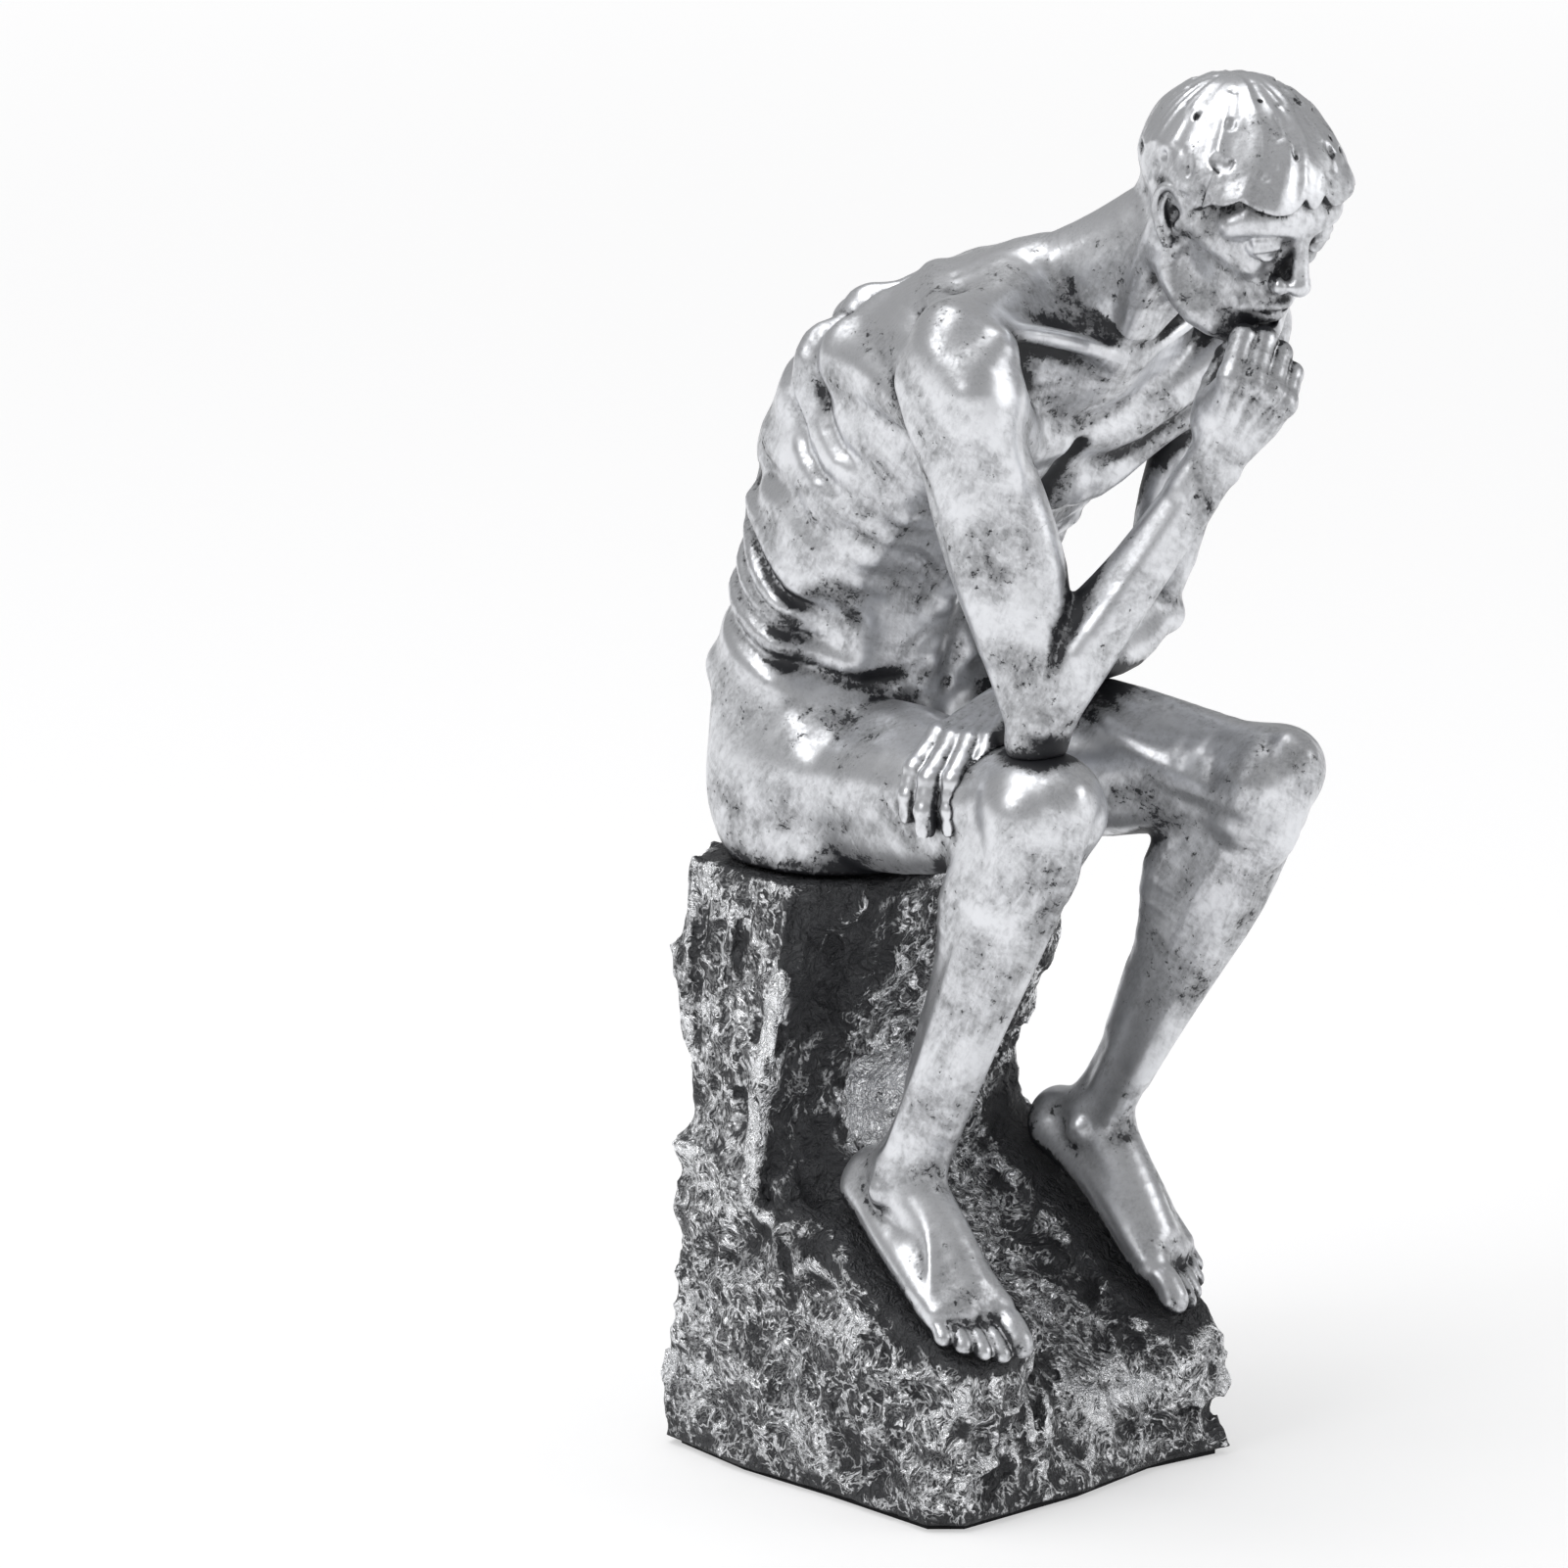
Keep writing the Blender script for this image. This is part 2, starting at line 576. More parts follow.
def muscle(at, places):
    return strand([at(*p[:3]) for p in places], [p[3] for p in places])


def shapeUpperArm(clay, shoulder, elbow, wrist, out):
    foreRun = unit(wrist - elbow)
    at = boneFrame(shoulder, elbow, foreRun, out)
    for places in armMuscles.values():
        clay.add(muscle(at, places), 2.2)
    # cap of the shoulder in three heads, ending in a point half-way down the outside
    point = at(0.52, 4.6, 0)
    clay.add(strand([shoulder + vec(5.5, 0, 3.5) - out * 4, shoulder + vec(6, 0, -3) + out * 1.5,
                     at(0.3, 4, 4), point],
                    [4.2, 5.2, 4, 1.8]), 2.4)
    clay.add(strand([shoulder + vec(0, 0, 3.6) - out * 2, shoulder + vec(0, 0, -3) + out * 2.6,
                     at(0.3, 4.6, 0), point],
                    [4.8, 5.4, 4.4, 1.8]), 2.4)
    clay.add(strand([shoulder + vec(-6, 0, 3) - out * 3, shoulder + vec(-5.4, 0, -3) + out * 2,
                     at(0.3, 4.2, -4), point],
                    [4.2, 5, 3.8, 1.8]), 2.4)


def shapeForearm(clay, shoulder, elbow, wrist, out, palmOut, thumbward):
    foreRun = unit(wrist - elbow)
    at = boneFrame(shoulder, elbow, foreRun, out)
    # elbow
    tipWay = unit(unit(elbow - shoulder) - foreRun)
    hinge = np.cross(unit(elbow - shoulder), foreRun)
    hinge = hinge / max(np.linalg.norm(hinge), 0.1)
    clay.add(egg(elbow + tipWay * 3.4, (3.4, 3.4, 3.4)), 2)
    for side in (-1, 1):
        clay.add(egg(elbow + side * hinge * 4.4, (3.1, 3.1, 3.1)), 2)
    # forearm
    fore = boneFrame(elbow, wrist, palmOut, thumbward)
    for places in forearmMuscles.values():
        clay.add(muscle(fore, places), 1.8)
    clay.add(strand([at(0.8, 4, 1.5), elbow + thumbward * 3.4 + foreRun * 3, fore(0.28, 3.6, 0.8),
                     fore(0.55, 2.8, 0), fore(0.88, 2.4, 0)], [2.4, 3.8, 4, 2.7, 1.7]), 1.8)
    for side in (-1, 1):
        clay.add(rod(fore(0.84, side * 1.5, 0), fore(1.04, side * 1.8, 0), 2.9, 2.9), 1.6)
    clay.add(egg(fore(0.95, -3.2, -1.4), (1.8, 1.8, 1.8)), 1.2)


hands = {
    "fingerPlaces": [5.3, 1.8, -1.7, -5.0],  # mm towards the thumb, index first
    "knucklePlaces": [15.0, 15.8, 15.3, 14.2],
    "fingerBones": [(7.6, 4.9, 4.2), (8.4, 5.6, 4.5), (7.9, 5.2, 4.3), (6.3, 4.1, 3.8)],
    "fingerGirths": [(2.4, 2.25, 2.0), (2.45, 2.3, 2.05), (2.35, 2.2, 1.95), (2.15, 2.0, 1.8)],
    "thumbBones": (6.4, 5.2, 4.4),
}


def foldedRun(start, along, fold, bones, bends):
    # the bones are laid end to end, each turned towards the palm from the one before
    run = [start]
    turns = []
    for length, bend in zip(bones, bends):
        along, fold = turned(along, fold, bend), turned(fold, -along, bend)
        run.append(run[-1] + along * length)
        turns.append((along, fold))
    return run, turns


def addFinger(clay, start, along, fold, across, bones, girths, bends, soften):
    run, turns = foldedRun(start, along, fold, bones, bends)
    a, b, c, d = run
    ga, gb, gc = girths
    clay.add(rod(a, mix(a, b, 0.55), ga, ga * 0.92), soften)
    for p, q, gp, gq in ((mix(a, b, 0.5), b, ga * 0.92, gb * 1.02),
                         (b, mix(b, c, 0.5), gb * 1.02, gb * 0.9),
                         (mix(b, c, 0.5), c, gb * 0.9, gc), (c, mix(c, d, 0.78), gc, gc * 0.84)):
        clay.add(rod(p, q, gp, gq), 0.5)
    tipAlong, tipFold = turns[-1]
    nail = mix(c, d, 0.7) - tipFold * gc * 0.72
    clay.add(egg(nail, (gc * 0.95, gc * 0.66, 0.42), (tipAlong, across, tipFold)), 0.12)


def shapeHand(clay, wrist, pointing, palmOut, thumbward, bends, spreads, thumbWay, thumbBends):
    palmOut = square(pointing, palmOut)
    at = lambda a, s, n: wrist + pointing * a + thumbward * s + palmOut * n
    for side in (-1, 1):
        clay.add(rod(at(-1.5, side * 1.8, 0), at(4, side * 2.5, 0), 2.9, 2.9), 1.6)
    for place, knuckle in zip(hands["fingerPlaces"], hands["knucklePlaces"]):
        clay.add(rod(at(2, place * 0.45, 0.2), at(knuckle, place, 0), 2.7, 2.35), 1.6)
    clay.add(strand([at(1.5, 3, 1.4), at(6, 4.8, 2), at(11, 5, 1.4)], [2.4, 3, 2.2]), 1.6)
    clay.add(strand([at(2, -3, 1.2), at(7, -4.6, 1.6), at(12, -4.8, 1)], [2.2, 2.7, 2]), 1.6)
    for index, place in enumerate(hands["fingerPlaces"]):
        knuckle = hands["knucklePlaces"][index]
        girths = hands["fingerGirths"][index]
        root = at(knuckle, place, 0)
        clay.add(egg(at(knuckle - 0.3, place, -0.75), (2.1, 1.9, 1.9),
                     (pointing, thumbward, palmOut)), 0.9)
        clay.add(strand([at(4, place * 0.5, -2.2), at(9, place * 0.75, -2.15),
                         at(knuckle - 1, place, -2.1)],
                        [0.5, 0.6, 0.5]), 0.8)
        way = unit(pointing + thumbward * spreads[index])
        addFinger(clay, root, way, square(way, palmOut), square(way, thumbward),
                  hands["fingerBones"][index],
                  girths, bends[index], 1.0)
    way = unit(pointing * thumbWay[0] + thumbward * thumbWay[1] + palmOut * thumbWay[2])
    fold = square(way, palmOut - thumbward)
    root = at(3.4, 4.2, 1.6)
    addFinger(clay, root, way, fold, np.cross(way, fold), hands["thumbBones"], (3.0, 2.35, 2.15),
              thumbBends, 1.8)


thighMuscles = {
    "core": [(-0.1, 0, 0, 12.6), (0.2, 0, -0.4, 13.4), (0.5, 0, -0.4, 12.6), (0.8, 0, 0, 10),
             (1, 0, 0, 8.8)],
    "front": [(0.0, 0, 6.6, 5), (0.25, 0.5, 8.2, 6.8), (0.5, 0.8, 7.8, 6.8), (0.75, 0.5, 6.2, 5.2),
              (0.93, 0, 5.2, 3)],
    "outer": [(0.0, 7.6, 1, 6), (0.25, 8.2, 2.6, 7.4), (0.5, 7.4, 3.2, 7.2), (0.75, 6, 2.4, 5.6),
              (0.92, 5.2, 2, 3.4)],
    "inner": [(0.35, -6, 3, 4.8), (0.6, -6.4, 3, 6), (0.8, -6.2, 2.4, 5.9), (0.93, -5.4, 2, 3.4)],
    "underOuter": [(-0.02, 3, -6.6, 7.6), (0.3, 2, -7, 8), (0.6, 2.6, -5.8, 6.4),
                   (0.85, 4.6, -4.4, 4), (1, 5.2, -3.4, 2.5)],
    "underInner": [(0.3, -4, -6.2, 6.2), (0.6, -4.6, -5.2, 5.2), (0.85, -5, -3.8, 3.7),
                   (1, -5, -3, 2.4)],
    "groin": [(-0.1, -7, 0, 6), (0.15, -7.8, -1, 7), (0.4, -6.6, -1.5, 5.6), (0.6, -5, -1, 3.4)],
    "strap": [(0.02, 7, 8.5, 2), (0.3, 0, 12.4, 2.2), (0.6, -8.4, 8, 2.2), (0.85, -9.6, 1, 2.2),
              (1.0, -7.6, -2.6, 2)],
}
shinMuscles = {
    "core": [(0, 0, 0, 9), (0.15, 0, 0, 8.4), (0.4, 0, -0.4, 7.2), (0.7, 0, 0, 5.2),
             (1, 0, 0, 4.7)],
    "tibia": [(0.08, -0.8, 7.2, 2.8), (0.3, -1.6, 6.2, 2.5), (0.6, -1.6, 4.4, 2.3),
              (0.92, -1.8, 3, 2.5)],
    "shinMuscle": [(0.08, 3.4, 5, 3), (0.3, 3.2, 5, 3.9), (0.55, 1.8, 4.2, 2.9),
                   (0.82, 0, 3.2, 1.8)],
    "outer": [(0.05, 6.8, 0, 2.9), (0.3, 5.8, 0.4, 3.4), (0.6, 4.2, -0.6, 2.6),
              (0.95, 3.8, -2, 1.7)],
    "innerCalf": [(-0.01, -3.4, -3.6, 3.8), (0.14, -4, -5.2, 5.6), (0.31, -4, -6.2, 5.9),
                  (0.48, -2.8, -4.8, 3.1)],
    "outerCalf": [(-0.01, 3.4, -3.6, 3.8), (0.12, 3.9, -4.9, 5.1), (0.27, 3.8, -5.8, 5.3),
                  (0.42, 2.6, -4.6, 2.9)],
    "deepCalf": [(0.35, 0, -4, 6.2), (0.55, 0, -4, 4.9), (0.75, 0, -3.4, 3.1)],
    "heelTendon": [(0.6, 0, -4.8, 3), (0.8, 0, -4.8, 1.9), (0.95, 0, -5.6, 1.8),
                   (1.08, 0, -6.2, 2.6)],
}
feet = {
    # toes from the inner one: mm across, where each starts and ends ahead of the ankle, girth
    "toes": [(5.3, 24.0, 34.0, 2.7), (1.7, 25.5, 33.6, 1.75), (-1.2, 24.8, 32.2, 1.65),
             (-3.9, 23.4, 30.2, 1.6), (-6.3, 21.4, 27.6, 1.55)],
}


def footFrame(ankle, pitch, side):
    toes = turned(turned(forward, side, pose["footSplay"]), -upward, pitch)
    normal = square(toes, upward)
    sole = ankle - normal * pose["ankleHeight"]
    inner = square(normal, square(toes, -side))
    return sole, toes, inner, normal


def shapeFoot(clay, ankle, pitch, side):
    sole, toes, inner, normal = footFrame(ankle, pitch, side)
    at = lambda t, s, n: sole + toes * t * 1.1 + inner * s * 1.06 + normal * n
    clay.add(egg(at(-6.6, 0, 5.4), (5.4, 5.0, 6.2), (toes, inner, normal)), 3)
    clay.add(strand([at(-1, 0, 12), at(5, 0.4, 10), at(13, 1.2, 7.8), at(20, 1.6, 5.6)],
                    [5.6, 5.8, 5.2, 4.2]), 3.5)
    clay.add(strand([at(-6, -2, 3.4), at(6, -3.8, 3.2), at(16, -5, 3), at(22, -5.2, 2.8)],
                    [3.8, 3.6, 3.2, 2.8]), 3)
    clay.add(strand([at(-5, 2, 4), at(4, 3.2, 5.2), at(12, 4.2, 4.8), at(19, 4.8, 3.8),
                     at(24, 5, 3.3)],
                    [4, 3.4, 3.2, 3.4, 3.6]), 3)
    clay.add(strand([at(10, -0.6, 5), at(23, -1.2, 3.2)], [4.6, 3.4]), 3)
    for across, start, end, girth in feet["toes"]:
        clay.add(strand([at(7, across * 0.25, 12.6), at(14, across * 0.6, 9.2),
                         at(start, across, girth * 1.9)],
                        [0.5, 0.8, 0.9]), 1.4)
        run = end - start
        clay.add(strand([at(start - 2, across, girth * 0.95),
                         at(start + run * 0.35, across, girth * 1.3),
                         at(start + run * 0.7, across * 1.02, girth * 1.0)],
                        [girth * 0.95, girth, girth * 0.96]), 0.7)
        clay.add(egg(at(end - girth * 1.05, across * 1.03, girth * 0.82),
                     (girth * 1.15, girth * 1.02, girth * 0.86),
                     (toes, inner, normal)), 0.5)
        clay.add(egg(at(end - girth * 0.75, across * 1.03, girth * 1.5),
                     (girth * 0.62, girth * 0.62, 0.4),
                     (unit(toes - normal * 0.35), inner, unit(normal + toes * 0.35))), 0.15)
    for aside, drop in ((5.0, 0.3), (-5.0, -0.9)):
        clay.add(egg(ankle + inner * aside + normal * drop, (2.5, 2.5, 2.7)), 1.6)
    clay.cut(slab(sole, normal, sole - 30, sole + 60))


def shapeThigh(clay, hip, knee, out):
    at = boneFrame(hip, knee, upward, out)
    for name, places in thighMuscles.items():
        clay.add(muscle(at, places), 3.4 if name != "strap" else 2.6)


def shapeShin(clay, hip, knee, ankle, out, pitch):
    shin = boneFrame(knee, ankle, forward, out)
    for places in shinMuscles.values():
        clay.add(muscle(shin, places), 2.6)
    thighRun, shinRun = unit(knee - hip), unit(ankle - knee)
    front = unit(thighRun - shinRun)
    up = square(front, thighRun + shinRun)
    across = np.cross(front, up)
    for side in (-1, 1):
        clay.add(egg(knee + across * side * 5.6 + front * 1.4, (6.4, 6, 6.4), (front, across, up)),
                 3.4)
        clay.add(egg(shin(0.075, side * 5.4, 2.2), (4.2, 4.2, 4.2)), 3)
    clay.add(egg(knee + front * 8.6, (2.9, 5, 5.6), (front, across, up)), 2.2)
    clay.add(strand([knee + front * 9.6, shin(0.06, 0, 9), shin(0.13, -0.4, 8)], [2.4, 2.3, 2.6]),
             1.8)
    shapeFoot(clay, ankle, pitch, out)


# The head is set out from its middle: mm ahead of it, to its left and up, along the tilted face.
faceAxes = (faceAhead, leftward, faceUp)
face = {
    "width": 1.14,
    "skull": ((-3.1, 0, 4.0), (16.7, 13.4, 15.3)),
    "hairThickness": 1.6,
    "lockDepth": 0.3,
    "pitDepth": 1.4,
    # degrees round from the front, and how high the hair's edge runs there
    "hairEdge": [(0, 9.6), (25, 9.4), (45, 8.6), (62, 6), (76, 0.5), (86, -2.6), (94, -1.0),
                 (104, 1.6), (118, 0.4), (132, -4), (150, -8.2), (180, -9.6)],
    "fringeDepth": 1.9,
    "fringeCount": 7.0,
    "fringeThickness": 1.2,
}


def headAt(ahead, aside, above):
    return pose["head"] + faceAhead * ahead + leftward * aside * face["width"] + faceUp * above


def headEgg(ahead, aside, above, radii):
    return egg(headAt(ahead, aside, above), (radii[0], radii[1] * face["width"], radii[2]),
               faceAxes)


def headStrand(places, girths):
    return strand([headAt(*p) for p in places], girths)


def shapeNeck(clay):
    base = pose["neckBase"]
    clay.add(strand([base + vec(-4, 0, -8), mix(base, nape, 0.45) + vec(0, 0, 0.5),
                     headAt(-5.5, 0, -6)],
                    [12, 9.2, 9.2]), 4)
    for side, shoulder in ((-1, pose["rightShoulder"]), (1, pose["leftShoulder"])):
        out = leftward * side
        # cowl muscle from the back of the head to the shoulder
        clay.add(strand([mix(base, nape, 0.75) + vec(-6, 0, 1) + out * 4,
                         base + vec(-7, 0, 3) + out * 10, base + vec(-3, 0, 0.5) + out * 21,
                         shoulder + vec(-2, 0, 7)], [4, 5.6, 5, 3.6]), 5)
        clay.add(strand([headAt(-5, side * 10.6, -5),
                         mix(headAt(-5, side * 10.6, -5), base + vec(9.6, 0, -4.4), 0.5)
                         + out * 1.2,
                         base + vec(9.6, 0, -5) + out * 2.6], [2.6, 3, 1.9]), 1.8)
        clay.add(strand([headAt(-13, side * 3.4, -4),
                         mix(nape, base, 0.4) + vec(-6.6, 0, 2) + out * 4.2,
                         base + vec(-9, 0, 3) + out * 6], [3, 4, 5]), 3)
    clay.add(strand([headAt(4, 0, -15), base + vec(15, 1, 3.6), base + vec(10.4, 0, -3)],
                    [3.4, 2.9, 2.4]), 2.4)


def shapeEar(clay, side):
    at = lambda a, o, u: headAt(-1.6 + a - 0.22 * u, side * (11.9 + o), -1.2 + u)
    clay.add(egg(at(0, 0.6, 0.2), (3.1, 1.2, 4.8), faceAxes), 1.2)
    rim = [at(2.2, 0.2, 0.6), at(2.3, 1.3, 2.8), at(0.9, 2.0, 4.7), at(-1.2, 2.4, 4.4),
           at(-2.7, 2.6, 2.2), at(-2.8, 2.5, -0.6), at(-1.6, 2.0, -3.2), at(0.2, 1.5, -4.7)]
    clay.add(strand(rim, [0.6, 0.75, 0.85, 0.85, 0.8, 0.75, 0.85, 1.2]), 0.5)
    clay.cut(egg(at(0.5, 1.9, -0.4), (1.5, 1.2, 2.2), faceAxes), 0.5)
    clay.add(strand([at(-1.2, 1.9, 3.0), at(-1.5, 2.2, 0.6), at(-0.8, 1.9, -1.8),
                     at(0.4, 1.6, -2.9)],
                    [0.5, 0.55, 0.6, 0.6]), 0.4)
    clay.add(egg(at(1.9, 1.0, -0.9), (0.8, 0.9, 1.1), faceAxes), 0.5)


def shapeHair(clay, skull):
    x, y, z = clay.whole()
    dx, dy, dz = x - pose["head"][0], y - pose["head"][1], z - pose["head"][2]
    ahead = dx * faceAhead[0] + dz * faceAhead[2]
    above = dx * faceUp[0] + dz * faceUp[2]
    aside = dy + 0 * ahead
    around = np.arctan2(aside, ahead + 2)
    turns = np.degrees(np.abs(around))
    edge = np.interp(turns, [e[0] for e in face["hairEdge"]],
                     [e[1] for e in face["hairEdge"]]).astype(np.float32)
    front = np.clip((70 - turns) / 25, 0, 1)
    wave = around * face["fringeCount"] + 0.9 * np.sin(around * 5.3) + 0.4
    edge = edge - face["fringeDepth"] * front * (np.abs(np.cos(wave)) - 0.4)
    # locks run from the crown: ridges round it, slowly twisted on the way down
    crownAway, crownUp = ahead + 7, above - 4
    turn = np.arctan2(aside, crownAway * 0.85 + crownUp * 0.3)
    drop = np.arctan2(np.sqrt(aside ** 2 + (crownAway * 0.85 + crownUp * 0.3) ** 2),
                      crownUp * 0.9 - crownAway * 0.3)
    lock = lumps(turn * 3.4 + 8 + drop * 0.7, drop * 1.3, turn * 0.3, 1, 3)
    lock = 1 - np.abs(2 * lock - 1) * 1.7
    small = lumps(turn * 8.5 + 20 + drop * 1.2, drop * 2.2, turn * 0.4, 1, 5)
    pits = np.clip(lumps(x, y, z, 2.1, 7) - 0.69, 0, 1) * 3.6
    pits = pits * (0.55 + front * np.clip(1 - (above - edge) / 9, 0, 1))
    thick = (face["hairThickness"]
             + face["lockDepth"] * (lock + 0.5 * (1 - np.abs(2 * small - 1) * 2))
             - face["pitDepth"] * pits)
    thick = thick + face["fringeThickness"] * front * np.clip(1 - np.abs(above - edge) / 4.5, 0, 1)
    thick = thick * np.clip((above - edge) / 8 + front * 9, 0.05, 1)
    hair = softMax((skull - thick).astype(np.float32), ((edge - above) * 0.85).astype(np.float32),
                   0.9)
    clay.far = softMin(clay.far, hair, 0.25)


def shapeHead(clay):
    centre, radii = face["skull"]
    clay.add(headEgg(*centre, radii))
    clay.add(headEgg(5, 0, 6, (9.6, 11, 9.6)), 3)
    shapeNeck(clay)
    skull = clay.far.copy()
    clay.add(headEgg(4, 0, -5, (10.2, 10.4, 13)), 3)
    clay.add(headEgg(5, 0, -12, (9, 8.2, 6)), 2.5)
    for side in (-1, 1):
        clay.add(headStrand([(-1.5, side * 10.2, -4), (-1, side * 9.8, -11.5),
                             (6.5, side * 7.8, -16.4), (12.6, side * 1.5, -18.2)],
                            [2.6, 3.2, 3.3, 3.2]), 3)
        clay.add(headStrand([(11, side * 6.2, -3.6), (6, side * 10, -2), (0, side * 11.4, -0.8)],
                            [2.4, 2.1, 1.3]), 2)
        clay.cut(headEgg(7.5, side * 12.6, 5.5, (5, 2.4, 4.6)), 2.5)
        clay.cut(headEgg(6.8, side * 11.4, -9.8, (5, 1.6, 4)), 3)
    clay.add(headEgg(12.1, 0, -17.4, (3.2, 4.4, 3.1)), 2)
    clay.add(headEgg(11.2, 0, -11.2, (4.6, 6.2, 5.2)), 2)
    # brow
    for side in (-1, 1):
        clay.add(headStrand([(13.3, side * 1.4, 3.8), (12.8, side * 4.6, 4.9),
                             (11.1, side * 8, 4.5), (8.6, side * 10, 2.6)], [1.9, 2.3, 2.1, 1.7]),
                 3.2)
        clay.cut(headEgg(16.0, side * 5.4, 0.2, (3.4, 4, 2.6)), 1.9)
        # eye: ball, upper lid over its top, lower lid, and the inner corner
        clay.add(headEgg(11.5, side * 5.3, 0.2, (2.95, 3.1, 2.95)))
        clay.add(headStrand([(13.0, side * 2.7, -0.4), (14.3, side * 4.0, 0.9),
                             (14.5, side * 5.6, 1.1), (13.3, side * 7.7, 0.1)],
                            [0.35, 0.55, 0.6, 0.45]), 0.45)
        clay.add(headStrand([(13.2, side * 3.1, 1.7), (14.0, side * 5.3, 2.3),
                             (12.8, side * 7.9, 1.5)],
                            [0.6, 0.85, 0.7]), 0.8)
        clay.add(headStrand([(13.0, side * 2.7, -0.6), (14.0, side * 4.3, -1.5),
                             (13.9, side * 5.9, -1.5), (12.9, side * 7.6, -0.4)],
                            [0.3, 0.45, 0.5, 0.35]), 0.5)
        clay.cut(headStrand([(14.2, side * 3.0, -3.0), (14.5, side * 5.2, -3.7),
                             (13.1, side * 7.8, -3.0)],
                            [0.2, 0.3, 0.2]), 2)
    # nose
    clay.add(headStrand([(13.6, 0, 4), (14.9, 0, 1.6), (16.8, 0, -2.4), (18.2, 0, -5.2)],
                        [1.5, 1.35, 1.5, 1.75]), 1.2)
    clay.add(headEgg(17.9, 0, -5.7, (1.9, 2, 1.7)), 0.8)
    for side in (-1, 1):
        clay.add(headEgg(15.8, side * 2.5, -6.3, (2, 1.35, 1.6)), 0.9)
        clay.cut(headEgg(16.4, side * 1.6, -7.7, (1.1, 0.6, 0.8)), 0.4)
        clay.cut(headStrand([(15.2, side * 3.8, -6.2), (14.3, side * 5, -8.8),
                             (13.1, side * 6, -11)],
                            [0.15, 0.3, 0.1]), 2)
    # mouth
    clay.cut(headStrand([(16.4, 0, -7.8), (16.2, 0, -10)], [0.45, 0.5]), 1)
    clay.add(headStrand([(12.9, -4.5, -12.2), (14.8, -2.4, -11.4), (15.5, -0.8, -10.9),
                         (15.4, 0, -11.05), (15.5, 0.8, -10.9), (14.8, 2.4, -11.4),
                         (12.9, 4.5, -12.2)], [0.5, 0.95, 1.1, 1.05, 1.1, 0.95, 0.5]), 0.6)
    clay.add(headStrand([(12.9, -4.1, -12.7), (14.3, -2.2, -13.4), (14.9, 0, -13.6),
                         (14.3, 2.2, -13.4), (12.9, 4.1, -12.7)],
                        [0.5, 1.15, 1.3, 1.15, 0.5]), 0.6)
    clay.cut(headStrand([(12.6, -5, -12.5), (15, -2.4, -12.3), (16.3, 0, -12.15), (15, 2.4, -12.3),
                         (12.6, 5, -12.5)],
                        [0.25, 0.3, 0.3, 0.3, 0.25]), 0.35)
    clay.cut(headStrand([(13.6, -2.6, -15.6), (14.9, 0, -15.4), (13.6, 2.6, -15.6)],
                        [0.3, 0.5, 0.3]), 1.4)
    shapeHair(clay, skull)
    for side in (-1, 1):
        shapeEar(clay, side)


